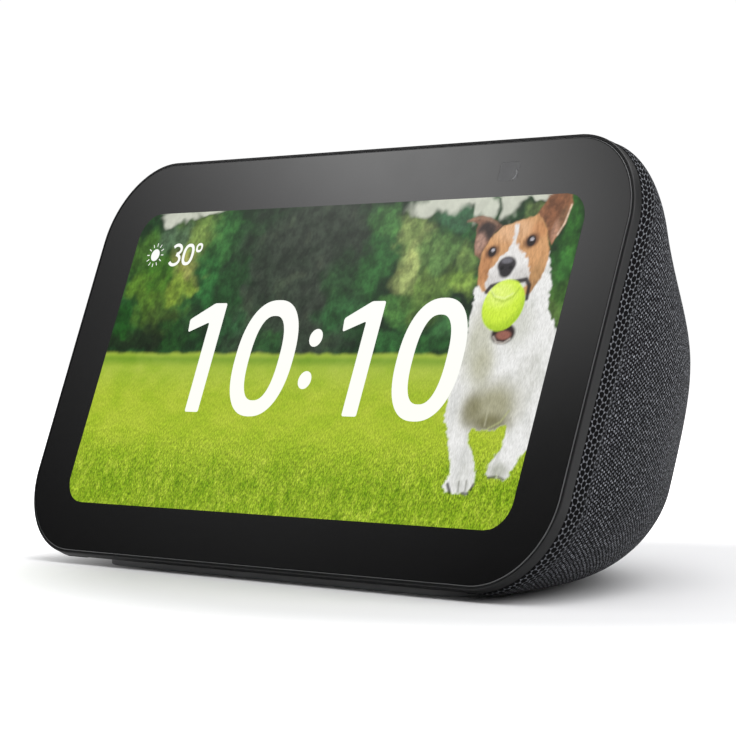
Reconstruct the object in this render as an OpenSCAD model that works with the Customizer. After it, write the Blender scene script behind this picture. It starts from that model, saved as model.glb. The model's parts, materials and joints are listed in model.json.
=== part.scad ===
// Smart speaker with a leaning display, a knitted cover and one driver firing to the rear.
// Frame: Z up, the face towards -Y, X to the right of someone facing the display.
// The origin is on the surface it stands on, under the middle of the object. Millimetres and degrees.

/* [Face] */
// Width across the bezel
face_w = 147.5; // [145:0.5:149]
// Height of the bezel along its slope
face_h = 85; // [84.5:0.25:85.5]
// Radius of the bezel's corners
corner_r = 18; // [16:0.5:20]
// How far the face leans back from upright
lean = 20; // [19:0.5:21]
// Width of the plastic lip around the cover glass
lip = 0.8; // [0.5:0.1:0.9]
// Depth of the bezel, square to the face
bezel_depth = 3.3; // [3.2:0.1:3.4]
// Thickness of the cover glass
glass_t = 1.1; // [0.8:0.1:1.2]

/* [Display] */
// Width of the display panel
panel_w = 128.5; // [126:0.5:129]
// Height of the display panel, with the border below that holds its driver chip
panel_h = 66.5; // [64:0.5:67]

/* [Body] */
// Level run from the face back to the rearmost part of the body
body_run = 80; // [79:0.5:81]
// Level run from the face back to where the top starts to fall away
top_run = 16; // [15.5:0.5:17]
// Level run gained for each millimetre further down the sloping back
back_slope = 1.72; // [1.64:0.02:1.76]
// How softly the sloping back turns into the lower back
back_blend = 9.6; // [8:0.1:10]
// Power of the plan's curve: 2 is an ellipse, and less pulls the sides in
plan_power = 1.78; // [1.74:0.01:1.8]
// Radius where the lower back turns under
hem_round = 16.2; // [15:0.1:16.5]
// Thickness of the knitted cover
knit_t = 0.9; // [0.7:0.1:1]
// Thickness of the rear housing's wall
wall = 2.2; // [2:0.1:2.3]

/* [Foot] */
// How far the rubber foot stands below the body
foot_drop = 1.1; // [1:0.1:1.2]

/* [Speaker] */
// Radius of the driver's frame where the surround sits
driver_r = 19.6; // [19.2:0.1:19.7]
// Height of the driver's centre
driver_z = 34.75; // [34.5:0.25:35]
// How far the cone travels each way
cone_travel = 1.2; // [0.5:0.1:1.2]

/* [Controls] */
// Radius of a button's cap
button_r = 2.3; // [2:0.1:2.4]
// How far a button travels
button_travel = 0.4; // [0.2:0.1:0.4]
// How far the camera shutter slides
shutter_travel = 3.8; // [3.6:0.1:3.8]

/* [Power inlet] */
// Radius of the recess that takes the plug's nose
recess_r = 4.75; // [4.5:0.05:4.9]
// Radius of the jack's barrel hole
barrel_r = 2.1; // [2:0.05:2.2]
// Radius of the centre pin
pin_r = 0.8; // [0.7:0.05:0.85]

/* [Hidden] */
$fn = 48;

// Centre of the glass's front
face_z = 41.9;
face_y = -30.62;
fit_gap = 0.1;

// Depths behind the glass's front, square to the face
lip_drop = 0.15;
glass_seat = glass_t + 0.25;
panel_back = glass_t + 1.2;
light_back = panel_back + 1.5;
plate_back = light_back + 1.2;
board_front = 8.2;
board_back = board_front + 1.2;
shield_back = board_back + 2.6;

// Tongue of the front frame that snaps into the housing
tongue_inset = 4;
tongue_t = 1.2;
tongue_depth = 7.3;
tongue_low = 4.9;

// Heights of the body
base_z = foot_drop;
ridge_z = face_z + face_h / 2 * cos(lean) - bezel_depth * sin(lean);
ridge_run = 4;
ridge_drop = 1.5;
rim_run = bezel_depth / cos(lean);
skin_gap = 0.2;
rows = 24;
cols = 32;

// Panel and camera places on the face: across and up from its centre
panel_v = -1.4;
lens_x = 42.4;
lens_v = 35.8;
sensor_x = 30;

// Strip of controls on the top, just behind the bezel
strip_left = -31;
strip_right = 45;
strip_run = 6;
strip_t = 1.6;
strip_front = face_y + face_h / 2 * sin(lean) + bezel_depth * cos(lean) + 0.05;
strip_y = strip_front + strip_run / 2;
strip_low = ridge_z - strip_t;
button_xs = [-20, -8.5, 3];
mic_xs = [-14.25, -2.75];
key_board_top = strip_low - 2.7;
key_board_t = 1;
switch_top = key_board_top + 1.3;
flange_top = strip_low - 0.1;
flange_t = flange_top - switch_top - button_travel - 0.1;

// Shutter: parked to the left of the lens
park_x = lens_x - shutter_travel;
blade_front = glass_seat - 0.05;
blade_t = 0.3;
leaf_v = 39.2;
leaf_t = 0.4;
leaf_depth = 7.7;

// Speaker places along the driver's axis
seat_y = 21;
gasket_t = 0.8;
flange_y = seat_y + gasket_t;
flange_side = 42;
ear = 17.9;
magnet_front = 2.2;
plate_y = 8.2;
basket_y = 10.6;
rim_y = 23.4;
chamber_w = 56;
chamber_low = 12.5;
chamber_top = 56.5;
chamber_front = -6;
chamber_wall = 1.8;

// Power inlet: up from the face's centre line and behind the face
inlet_v = 1.5;
inlet_depth = 74.6;
recess_length = 2.5;
jack_mouth = inlet_depth - recess_length;
jack_end = 64.1;

charcoal = "#2b2c2f";
board_green = "#1f4a32";
steel = "#a9adb2";
copper = "#b87746";

// ---- Placing helpers ----

// Draws in the face's own frame: x across, y up the slope, z out of the glass.
module on_face() {
    translate([0, face_y, face_z])
        rotate([90 - lean, 0, 0])
            children();
}

// A flat outline of the face's frame made solid between two depths behind the glass's front.
module layer(front, back) {
    on_face()
        translate([0, 0, -back])
            linear_extrude(back - front)
                children();
}

// Draws along the driver's axis: z runs to the rear, from y = 0.
module on_driver() {
    translate([0, 0, driver_z])
        rotate([-90, 0, 0])
            children();
}

module box(low, high) {
    translate(low)
        cube(high - low);
}

module rounded(w, h, r) {
    offset(r = r)
        square([w - 2 * r, h - 2 * r], center = true);
}

module ring(outer, inner, h) {
    difference() {
        cylinder(r = outer, h = h);
        translate([0, 0, -1])
            cylinder(r = inner, h = h + 2);
    }
}

module bezel_outline(inset) {
    rounded(face_w - 2 * inset, face_h - 2 * inset, corner_r - inset);
}

module panel_outline(grow) {
    translate([0, panel_v])
        square([panel_w + 2 * grow, panel_h + 2 * grow], center = true);
}

// ---- Shape of the body, as level cuts that share the bezel's outline at the front ----

function clip01(t) = min(max(t, 0), 1);
function round_off(t) = 1 - sqrt(1 - pow(clip01(t), 2));
function soft_min(a, b, k) = -k * ln(exp(-a / k) + exp(-b / k));
function plane_y(z) = face_y + (z - face_z) * tan(lean);
function slope_v(z) = (z - face_z + bezel_depth * sin(lean)) / cos(lean);
function corner_drop(z) = max(abs(slope_v(z)) - (face_h / 2 - corner_r), 0);
function half_width(z) = face_w / 2 - corner_r + sqrt(max(pow(corner_r, 2) - pow(corner_drop(z), 2), 0));
function run_back(z) = soft_min(top_run + back_slope * (ridge_z - z), body_run, back_blend)
    - ridge_run * round_off((z - ridge_z + ridge_drop) / ridge_drop)
    - hem_round * round_off(1 - (z - base_z) / hem_round);
function cut_height(i, inset) = (base_z + ridge_z) / 2
    - (ridge_z - base_z - 2 * inset) / 2 * cos(180 * i / rows);
function cut_point(z, turn, inset) = [
    (half_width(z) - inset) * sign(cos(turn)) * pow(abs(cos(turn)), 2 / plan_power),
    plane_y(z) + rim_run + (run_back(z) - rim_run - inset) * pow(abs(sin(turn)), 2 / plan_power),
    z
];
function cut_points(inset) = [
    for (i = [0:rows])
        for (j = [0:cols])
            cut_point(cut_height(i, inset), 180 * j / cols, inset)
];

// A shell of the body between two insets, open at the front, where its rim lies in one plane.
module body_shell(outer, inner) {
    count = (rows + 1) * (cols + 1);
    grid = [for (i = [0:rows - 1]) for (j = [0:cols - 1]) i * (cols + 1) + j];
    up = cols + 1;
    last = rows * up;
    polyhedron(
        points = concat(cut_points(outer), cut_points(inner)),
        faces = concat(
            [for (k = grid) [k, k + up, k + up + 1]],
            [for (k = grid) [k, k + up + 1, k + 1]],
            [for (k = grid) [count + k, count + k + up + 1, count + k + up]],
            [for (k = grid) [count + k, count + k + 1, count + k + up + 1]],
            [[for (j = [cols:-1:0]) last + j], [for (j = [0:cols]) j]],
            [[for (j = [0:cols]) count + last + j], [for (j = [cols:-1:0]) count + j]],
            [for (i = [0:rows - 1]) [i * up, count + i * up, count + (i + 1) * up, (i + 1) * up]],
            [for (i = [0:rows - 1]) [i * up + cols, (i + 1) * up + cols,
                count + (i + 1) * up + cols, count + i * up + cols]],
            [[last, count + last, count + last + cols, last + cols]],
            [[count, 0, cols, count + cols]]
        )
    );
}

// ---- Front ----

module cover_glass() {
    color("#101114")
        layer(0, glass_t)
            bezel_outline(lip);
}

module glass_adhesive() {
    color("#1c1c1e")
        layer(glass_t, glass_seat)
            difference() {
                bezel_outline(lip + 0.4);
                panel_outline(2.2);
                translate([lens_x - 2, lens_v])
                    square([17, 9.2], center = true);
                translate([sensor_x, lens_v])
                    square(4, center = true);
            }
}

module shutter_pocket() {
    on_face() {
        box([park_x - 2, lens_v - 2.4, -2.2], [lens_x + 2, lens_v + 4, 1]);
        box([park_x - 1.2, leaf_v - 0.3, -9], [lens_x + 1.2, leaf_v + leaf_t + 0.3, 1]);
        box([lens_x - 3.4, lens_v - 3.4, -9], [lens_x + 3.4, lens_v + 3.3, -1.8]);
    }
}

module front_frame() {
    color(charcoal)
        difference() {
            union() {
                layer(lip_drop, bezel_depth)
                    bezel_outline(0);
                layer(lip_drop, light_back)
                    bezel_outline(tongue_inset + tongue_t);
                difference() {
                    layer(lip_drop, tongue_depth)
                        difference() {
                            bezel_outline(tongue_inset);
                            bezel_outline(tongue_inset + tongue_t);
                        }
                    on_face()
                        box([strip_left - 6, 30, -20], [strip_right + 6, 60, -bezel_depth]);
                    box([-face_w, -60, -20], [face_w, 60, tongue_low]);
                }
            }
            layer(-1, glass_seat)
                bezel_outline(lip - fit_gap);
            layer(-1, 20)
                panel_outline(0.3);
            shutter_pocket();
            on_face()
                box([sensor_x - 1.8, lens_v - 1.8, -2.7], [sensor_x + 1.8, lens_v + 1.8, 1]);
            chassis_screw_places()
                translate([0, 0, -light_back - 1])
                    cylinder(r = 1.05, h = 2.9);
            box([-face_w, -60, -20], [face_w, 60, base_z]);
        }
}

module lcd_panel() {
    color("#3c6a3a")
        layer(glass_t, panel_back)
            panel_outline(0);
}

module backlight_unit() {
    color("#d9dcdc")
        layer(panel_back, light_back)
            panel_outline(-0.2);
}

module chassis_screw_places() {
    on_face()
        for (side = [-1, 1])
            for (v = [-22, 20])
                translate([side * (panel_w / 2 + 2.35), v, 0])
                    children();
}

module board_posts() {
    on_face()
        for (side = [-1, 1])
            for (v = [-25, 19])
                translate([side * 45.5, v, 0])
                    children();
}

module chassis_plate() {
    color(steel)
        difference() {
            union() {
                layer(light_back, plate_back)
                    bezel_outline(tongue_inset + tongue_t + 0.3);
                board_posts()
                    translate([0, 0, -board_front])
                        cylinder(r = 2.2, h = board_front - light_back - 0.5);
            }
            board_posts()
                translate([0, 0, -board_front - 1])
                    cylinder(r = 0.95, h = 3.6);
            chassis_screw_places()
                translate([0, 0, -plate_back - 1])
                    cylinder(r = 1.05, h = 4);
            on_face() {
                box([lens_x - 6.2, lens_v - 3.6, -20], [lens_x + 3.8, 60, 0]);
                box([-9, -60, -20], [9, -33.4, 0]);
            }
        }
}

module chassis_screws() {
    color(steel)
        chassis_screw_places() {
            translate([0, 0, -plate_back])
                cylinder(r = 1, h = 2.6);
            translate([0, 0, -plate_back - 1])
                cylinder(r = 1.5, h = 1);
        }
}

// ---- Camera and its shutter ----

module camera_module() {
    color("#18191b")
        on_face() {
            box([lens_x - 3.2, lens_v - 3.2, -6], [lens_x + 3.2, lens_v + 3.2, -2.6]);
            translate([lens_x, lens_v, -2.6])
                ring(2.1, 1.55, 0.7);
        }
}

module camera_lens() {
    color("#30405a")
        on_face()
            translate([lens_x, lens_v, -2.6])
                cylinder(r = 1.5, h = 0.5);
}

module light_sensor() {
    color("#26282c")
        on_face()
            box([sensor_x - 1.2, lens_v - 1.2, -2.6], [sensor_x + 1.2, lens_v + 1.2, -glass_seat]);
}

module shutter_blade() {
    stem_low = face_z + leaf_v * cos(lean) - leaf_depth * sin(lean);
    color("#8d9096") {
        on_face() {
            box([park_x - 1.8, lens_v - 2.1, -blade_front - blade_t],
                [park_x + 1.8, lens_v + 2.1, -blade_front]);
            box([park_x - 1, lens_v + 2, -blade_front - blade_t],
                [park_x + 1, leaf_v + leaf_t, -blade_front]);
            box([park_x - 1, leaf_v, -leaf_depth], [park_x + 1, leaf_v + leaf_t, -blade_front]);
        }
        box([park_x - 1, strip_y - 0.5, stem_low], [park_x + 1, strip_y + 0.5, ridge_z + 0.05]);
    }
}

module shutter_knob() {
    color("#3a3b3f")
        translate([park_x, strip_y, ridge_z + 0.05])
            difference() {
                linear_extrude(0.9)
                    rounded(5.2, 2.6, 1.2);
                for (x = [-1.2, 0, 1.2])
                    box([x - 0.2, -2, 0.65], [x + 0.2, 2, 1]);
            }
}

// ---- Controls on the top ----

module control_strip() {
    color(charcoal)
        difference() {
            union() {
                box([strip_left, strip_front, strip_low], [strip_right, strip_front + strip_run, ridge_z]);
                for (x = [-25.5, 8.5])
                    translate([x, strip_y, key_board_top])
                        cylinder(r = 1.2, h = strip_low - key_board_top + 0.5);
            }
            for (x = button_xs)
                translate([x, strip_y, strip_low - 1])
                    cylinder(r = button_r + 0.15, h = strip_t + 2);
            for (x = mic_xs)
                translate([x, strip_y, strip_low - 1])
                    cylinder(r = 0.5, h = strip_t + 2);
            box([park_x - 1.3, strip_y - 0.8, strip_low - 1],
                [lens_x + 1.3, strip_y + 0.8, ridge_z + 1]);
        }
}

module button(x) {
    color("#35363a")
        translate([x, strip_y, flange_top - flange_t]) {
            cylinder(r = button_r, h = ridge_z + 0.4 - flange_top + flange_t);
            cylinder(r = button_r + 0.4, h = flange_t);
        }
}

module button_board() {
    color(board_green)
        difference() {
            box([-28, strip_y - 2.8, key_board_top - key_board_t], [11, strip_y + 3.2, key_board_top]);
            for (x = mic_xs)
                translate([x, strip_y, key_board_top - 2])
                    cylinder(r = 0.4, h = 3);
        }
}

module tact_switches() {
    color("#c8c9c4")
        for (x = button_xs) {
            box([x - 1.9, strip_y - 1.9, key_board_top], [x + 1.9, strip_y + 1.9, key_board_top + 0.9]);
            translate([x, strip_y, key_board_top + 0.8])
                cylinder(r = 1, h = switch_top - key_board_top - 0.8);
        }
}

module microphones() {
    low = key_board_top - key_board_t - 1.1;
    color("#c9b46a")
        for (x = mic_xs)
            box([x - 1.75, strip_y - 1.3, low], [x + 1.75, strip_y + 1.3, low + 1.1]);
}

module mic_gaskets() {
    color("#222325")
        for (x = mic_xs)
            translate([x, strip_y, key_board_top])
                ring(1.1, 0.5, strip_low - key_board_top);
}

// ---- Electronics ----

module main_board() {
    color(board_green)
        difference() {
            union() {
                layer(board_front, board_back)
                    translate([0, -3])
                        square([96, 52], center = true);
                on_face() {
                    box([-1, -27, -board_back - 2.5], [5, -22, -board_back]);
                    box([17, -22, -board_back - 2.5], [23, -17, -board_back]);
                    for (x = [26, 34])
                        box([x, -8, -board_back - 1.4], [x + 6, 4, -board_back]);
                    for (x = [-38:6:-26])
                        box([x, -6, -board_back - 1.8], [x + 4, 8, -board_back]);
                }
            }
            board_posts()
                translate([0, 0, -board_back - 1])
                    cylinder(r = 1.1, h = 4);
        }
}

module board_screws() {
    color(steel)
        board_posts() {
            translate([0, 0, -board_back])
                cylinder(r = 0.85, h = 3.4);
            translate([0, 0, -board_back - 1])
                cylinder(r = 1.8, h = 1);
        }
}

module processor_shield() {
    color(steel)
        difference() {
            layer(board_back, shield_back)
                square([34, 28], center = true);
            layer(board_back - 1, shield_back - 0.4)
                square([33.2, 27.2], center = true);
        }
}

module heat_spreader() {
    color("#7d8186")
        layer(shield_back, shield_back + 1)
            rounded(60, 33, 3);
}

module antennas() {
    color(copper)
        for (side = [-1, 1])
            translate([side * 61, -11, 43])
                cube([0.4, 16, 10], center = true);
}

// A flat ribbon between two x places, along a route drawn as (up the face, out of the glass).
module ribbon(left, right, route) {
    color("#c98a4a")
        on_face()
            translate([left, 0, 0])
                rotate([90, 0, 90])
                    linear_extrude(right - left)
                        polygon(route);
}

module display_ribbon() {
    ribbon(-7, 7, [[-34, -light_back], [-34, -6.4], [-27.2, -board_front], [-24, -board_front],
        [-24, -7.9], [-27.1, -7.9], [-33.7, -6.2], [-33.7, -light_back]]);
}

module camera_ribbon() {
    ribbon(39.6, 42.6, [[36, -6], [36, -6.4], [26, -7.8], [22.5, -board_front], [20, -board_front],
        [20, -7.9], [22.4, -7.9], [25.8, -7.5], [35.6, -6.1], [35.6, -6]]);
}

module speaker_wires() {
    color("#a33b33")
        for (x = [19.2, 20.8])
            translate([x, -25.8, 19.5])
                rotate([-90, 0, 0])
                    cylinder(r = 0.6, h = 25.8 + chamber_front - 0.05);
}

// Direction of a route at one of its points, along the mean of the stretches on each side.
function unit(v) = v / norm(v);
function route_way(route, k) = unit(
    (k > 0 ? unit(route[k] - route[k - 1]) : [0, 0, 0])
    + (k < len(route) - 1 ? unit(route[k + 1] - route[k]) : [0, 0, 0])
);

// A round lead swept along a route that lies in one plane of constant x.
module lead(route, r) {
    sides = 10;
    count = len(route);
    skin = [
        for (k = [0:count - 1])
            for (j = [0:sides - 1])
                let (across = cross(route_way(route, k), [1, 0, 0]), turn = 360 * j / sides)
                route[k] + r * (cos(turn) * [1, 0, 0] + sin(turn) * across)
    ];
    polyhedron(
        points = skin,
        faces = concat(
            [for (k = [0:count - 2]) for (j = [0:sides - 1])
                [k * sides + j, (k + 1) * sides + j, (k + 1) * sides + (j + 1) % sides]],
            [for (k = [0:count - 2]) for (j = [0:sides - 1])
                [k * sides + j, (k + 1) * sides + (j + 1) % sides, k * sides + (j + 1) % sides]],
            [[for (j = [0:sides - 1]) j]],
            [[for (j = [sides - 1:-1:0]) (count - 1) * sides + j]]
        )
    );
}

module power_lead() {
    color("#1b1b1d")
        lead([[2, 28.3, 19.9], [2, 27.25, 17.1], [2, 27.1, 14], [2, 27, 11.4], [2, 25.7, 9.4], [2, 23, 8.6],
            [2, 0, 8.6], [2, -18, 8.5], [2, -25, 8.2], [2, -28.6, 8.9], [2, -30.2, 10.6], [2, -29.85, 12.6]],
            1.1);
}

// ---- Speaker ----

module speaker_chamber() {
    color("#26272a")
        difference() {
            union() {
                difference() {
                    box([-chamber_w / 2, chamber_front, chamber_low], [chamber_w / 2, seat_y, chamber_top]);
                    box([-chamber_w / 2 + chamber_wall, chamber_front + chamber_wall, chamber_low + chamber_wall],
                        [chamber_w / 2 - chamber_wall, seat_y - chamber_wall, chamber_top - chamber_wall]);
                }
                on_driver()
                    for (x = [-ear, ear])
                        for (z = [-ear, ear])
                            translate([x, z, 14])
                                cylinder(r = 2.8, h = seat_y - 14);
            }
            on_driver() {
                translate([0, 0, seat_y - chamber_wall - 1])
                    cylinder(r = driver_r + 0.7, h = chamber_wall + 2);
                for (x = [-ear, ear])
                    for (z = [-ear, ear])
                        translate([x, z, 15])
                            cylinder(r = 1.25, h = 10);
            }
        }
}

module driver_square(y, t, hole) {
    on_driver()
        translate([0, 0, y])
            difference() {
                linear_extrude(t)
                    rounded(flange_side, flange_side, 5);
                translate([0, 0, -1])
                    cylinder(r = hole, h = t + 2);
                for (x = [-ear, ear])
                    for (z = [-ear, ear])
                        translate([x, z, -1])
                            cylinder(r = 1.5, h = t + 2);
            }
}

module speaker_gasket() {
    color("#151517")
        driver_square(seat_y, gasket_t, driver_r + 0.7);
}

module speaker_basket() {
    color("#3f4246") {
        driver_square(flange_y, rim_y - flange_y, driver_r - 1.2);
        on_driver()
            difference() {
                rotate_extrude()
                    polygon([[8.4, basket_y], [16.4, basket_y], [driver_r, flange_y],
                        [driver_r, flange_y + 0.2], [driver_r - 1.2, flange_y + 0.2],
                        [15.3, basket_y + 1.9], [13.2, basket_y + 1.9], [13.2, basket_y + 1], [8.4, basket_y + 1]]);
                for (turn = [0:60:120])
                    rotate(turn)
                        translate([0, 0, 17.2])
                            cube([60, 9, 5], center = true);
            }
    }
}

module speaker_screws() {
    color(steel)
        on_driver()
            for (x = [-ear, ear])
                for (z = [-ear, ear])
                    translate([x, z, 0]) {
                        translate([0, 0, 15.4])
                            cylinder(r = 1.15, h = rim_y - 15.4);
                        translate([0, 0, rim_y])
                            cylinder(r = 2.3, h = 1.1);
                    }
}

module front_plate() {
    color(steel)
        on_driver()
            translate([0, 0, plate_y])
                ring(15.6, 7.7, basket_y - plate_y);
}

module ring_magnet() {
    color("#3b3d40")
        on_driver()
            translate([0, 0, magnet_front])
                ring(16, 8.6, plate_y - magnet_front);
}

module yoke() {
    color(steel)
        on_driver() {
            translate([0, 0, magnet_front - 3])
                cylinder(r = 15.6, h = 3);
            translate([0, 0, magnet_front - 0.5])
                cylinder(r = 6, h = basket_y - magnet_front + 0.5);
        }
}

module voice_coil() {
    color(copper)
        on_driver() {
            translate([0, 0, 6.6])
                ring(6.8, 6.4, 8.6);
            translate([0, 0, 7])
                ring(7.25, 6.7, 3.4);
        }
}

module spider() {
    color("#c7a24e")
        on_driver()
            translate([0, 0, basket_y + 1.95])
                ring(14.8, 6.95, 0.35);
}

module speaker_cone() {
    color("#26262a")
        on_driver()
            rotate_extrude()
                polygon([[6.85, 14.3], [16.3, 22.8], [16.3, 23.35], [6.85, 15]]);
}

module cone_surround() {
    color("#1a1a1c")
        on_driver() {
            rotate_extrude()
                translate([18.4, rim_y])
                    intersection() {
                        difference() {
                            circle(r = 1.9);
                            circle(r = 1.4);
                        }
                        translate([-3, 0])
                            square([6, 3]);
                    }
            translate([0, 0, rim_y])
                ring(20.8, 20.1, 0.5);
        }
}

module dust_cap() {
    color("#1f1f22")
        on_driver()
            intersection() {
                difference() {
                    translate([0, 0, 10.2])
                        sphere(r = 9);
                    translate([0, 0, 10.2])
                        sphere(r = 8.5);
                }
                translate([0, 0, 15.45])
                    cylinder(r = 9, h = 6);
            }
}

// ---- Body ----

// Space that the control strip takes in the top of the housing and its cover.
module strip_space(margin) {
    box([strip_left - margin, strip_front - 6, ridge_z - 6],
        [strip_right + margin, strip_front + strip_run + margin, ridge_z + 2]);
}

module inlet_space(margin) {
    on_face()
        translate([0, inlet_v, -inlet_depth - 4])
            linear_extrude(14)
                rounded(15 + 2 * margin, 12 + 2 * margin, 3);
}

// Level outline inside the body's hem, cut square at the front and rounded there.
module hem_outline(half_w, run, front, front_r) {
    start = plane_y(base_z);
    intersection() {
        polygon([for (j = [0:cols])
            [half_w * sign(cos(180 * j / cols)) * pow(abs(cos(180 * j / cols)), 2 / plan_power),
                start + run * pow(abs(sin(180 * j / cols)), 2 / plan_power)]]);
        translate([0, start + front + 60])
            rounded(2 * half_w - 1, 120, front_r);
    }
}

module rear_housing() {
    outer = knit_t + skin_gap;
    color("#232427")
        difference() {
            union() {
                body_shell(outer, outer + wall);
                for (side = [-1, 1])
                    box([side * 17 - 1, -4, base_z + outer + wall - 1], [side * 17 + 1, 19, chamber_low]);
            }
            strip_space(fit_gap);
            inlet_space(fit_gap);
            for (k = [-3:3])
                box([-17 + abs(k) * 2, 20, driver_z + k * 5 - 1], [17 - abs(k) * 2, 60, driver_z + k * 5 + 1]);
        }
}

module fabric_cover() {
    color("#35373c")
        difference() {
            body_shell(0, knit_t);
            strip_space(fit_gap);
            inlet_space(fit_gap);
            translate([0, 0, -1])
                linear_extrude(base_z + knit_t + 2)
                    hem_outline(54.2, 62.2, 3.1, 11);
        }
}

module rubber_foot() {
    color("#4a4c50")
        linear_extrude(base_z + knit_t + skin_gap)
            hem_outline(54, 62, 4, 11);
}

module stand_magnets() {
    color(steel)
        for (side = [-1, 1])
            translate([side * 27, -8, base_z + knit_t + skin_gap + wall + 0.05])
                cylinder(r = 6, h = 2.2);
}

// ---- Power inlet ----

module inlet_plate() {
    color("#1d1e20")
        on_face()
            translate([0, inlet_v, 0])
                difference() {
                    translate([0, 0, -inlet_depth])
                        linear_extrude(4)
                            rounded(15, 12, 3);
                    translate([0, 0, -inlet_depth - 1])
                        cylinder(r = recess_r, h = recess_length + 1);
                    box([-4.6, -4.6, -jack_mouth], [4.6, 4.6, -jack_mouth + 3]);
                }
}

module dc_jack() {
    color("#131315")
        on_face()
            translate([0, inlet_v, 0])
                difference() {
                    box([-4.5, -4.5, -jack_mouth], [4.5, 4.5, -jack_end]);
                    translate([0, 0, -jack_mouth - 1])
                        cylinder(r = barrel_r, h = jack_mouth - jack_end);
                }
}

module dc_pin() {
    color(steel)
        on_face()
            translate([0, inlet_v, -jack_mouth + 1])
                cylinder(r = pin_r, h = jack_mouth - jack_end - 2);
}

cover_glass();
glass_adhesive();
front_frame();
lcd_panel();
backlight_unit();
chassis_plate();
chassis_screws();
camera_module();
camera_lens();
light_sensor();
shutter_blade();
shutter_knob();
control_strip();
button(button_xs[2]);  // volume_up_button
button(button_xs[1]);  // volume_down_button
button(button_xs[0]);  // mic_button
button_board();
tact_switches();
microphones();
mic_gaskets();
main_board();
board_screws();
processor_shield();
heat_spreader();
antennas();
display_ribbon();
camera_ribbon();
speaker_wires();
power_lead();
speaker_chamber();
speaker_gasket();
speaker_basket();
speaker_screws();
front_plate();
ring_magnet();
yoke();
voice_coil();
spider();
speaker_cone();
cone_surround();
dust_cap();
rear_housing();
fabric_cover();
rubber_foot();
stand_magnets();
inlet_plate();
dc_jack();
dc_pin();
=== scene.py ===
"""Looks of a smart speaker with a leaning display: glass, picture, bezel, knit, controls and stage."""

import json
import math

import bpy
import numpy as np
from mathutils import Matrix, Vector


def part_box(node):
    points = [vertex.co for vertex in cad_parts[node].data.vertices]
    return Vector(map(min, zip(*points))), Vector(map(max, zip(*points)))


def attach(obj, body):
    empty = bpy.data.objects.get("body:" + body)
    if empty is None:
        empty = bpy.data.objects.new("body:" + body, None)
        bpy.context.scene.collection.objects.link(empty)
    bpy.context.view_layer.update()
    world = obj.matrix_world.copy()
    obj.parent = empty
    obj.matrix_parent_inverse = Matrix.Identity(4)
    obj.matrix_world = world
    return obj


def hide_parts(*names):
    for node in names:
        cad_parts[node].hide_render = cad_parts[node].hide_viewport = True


bl_info = {
    "name": "Display speaker looks",
    "version": (1, 0, 0),
    "blender": (4, 5, 0),
    "location": "View3D > Sidebar > Speaker",
    "description": "Visible pieces, finishes and stage of a smart speaker with a display",
    "category": "Object",
}

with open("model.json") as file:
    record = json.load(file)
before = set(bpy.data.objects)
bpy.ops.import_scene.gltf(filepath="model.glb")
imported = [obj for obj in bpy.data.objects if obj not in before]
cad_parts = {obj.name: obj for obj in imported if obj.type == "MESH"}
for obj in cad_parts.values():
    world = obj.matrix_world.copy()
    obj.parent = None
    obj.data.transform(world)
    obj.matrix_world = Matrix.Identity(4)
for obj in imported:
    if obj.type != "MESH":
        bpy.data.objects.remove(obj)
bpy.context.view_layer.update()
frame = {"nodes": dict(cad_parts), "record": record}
NODES = frame["nodes"]
MM = 0.001

# Sizes in millimetres. The finished face is up to 0.6 off the CAD's in width, height, corners and lip.
FACE_W = 147.9
FACE_H = 85.0
RING_H = 84.75
CORNER_R = 17.4
LEAN = math.radians(20)
FACE_Y = -30.62
FACE_Z = 41.9
LIP = 0.62
BEZEL_DEPTH = 3.3
GLASS_T = 1.1
BASE_Z = 1.1
BODY_RUN = 80.0
TOP_RUN = 16.0
BACK_SLOPE = 1.72
BACK_BLEND = 9.6
PLAN_POWER = 1.78
HEM_ROUND = 16.2
RIDGE_RUN = 4.0
RIDGE_DROP = 1.5
KNIT_T = 0.9
KNIT_FRONT = 2.05
RIM_RUN = BEZEL_DEPTH / math.cos(LEAN)
RIDGE_Z = FACE_Z + FACE_H / 2 * math.cos(LEAN) - BEZEL_DEPTH * math.sin(LEAN)
SCREEN_W = 125.0
SCREEN_H = 62.5
SCREEN_X = 0.32
SCREEN_V = -0.4
SCREEN_R = 5.6
WINDOW = (41.2, 35.8)
WINDOW_SIZE = (4.9, 3.7)
WINDOW_R = 0.7
MIC_HOLES = (-14.25, -2.75)
INLET_V = 1.5
INLET_DEPTH = 74.6

# In metres: where the camera points from the display's centre, and the depth of a moulding's grain
AIM_RIGHT = 0.01134
AIM_DOWN = 0.00195
GRAIN_DEPTH = 0.00002

# The face's own frame: x across, y up the slope, z out of the glass
FACE = Matrix((
    (1, 0, 0, 0),
    (0, math.sin(LEAN), -math.cos(LEAN), FACE_Y),
    (0, math.cos(LEAN), math.sin(LEAN), FACE_Z),
    (0, 0, 0, 1),
))


# ---- Small helpers ----

def linear(red, green, blue):
    """A screen colour of 0 to 255 as linear light."""
    return tuple(c / 12.92 / 255 if c <= 10.3 else ((c / 255 + 0.055) / 1.055) ** 2.4 for c in (red, green, blue))


def start(name, add, **where):
    """Adds a primitive with nothing else selected and names it."""
    bpy.ops.object.select_all(action="DESELECT")
    add(**where)
    piece = bpy.context.active_object
    piece.name = name
    piece.data.name = name
    return piece


def only(piece):
    bpy.ops.object.select_all(action="DESELECT")
    piece.select_set(True)
    bpy.context.view_layer.objects.active = piece


def settle(piece, matrix=Matrix.Identity(4)):
    """Turns a piece made in millimetres in the given frame into metres, with its place in its mesh."""
    only(piece)
    piece.matrix_world = Matrix.Scale(MM, 4) @ matrix @ piece.matrix_world
    bpy.ops.object.transform_apply(location=True, rotation=True, scale=True)


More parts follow.
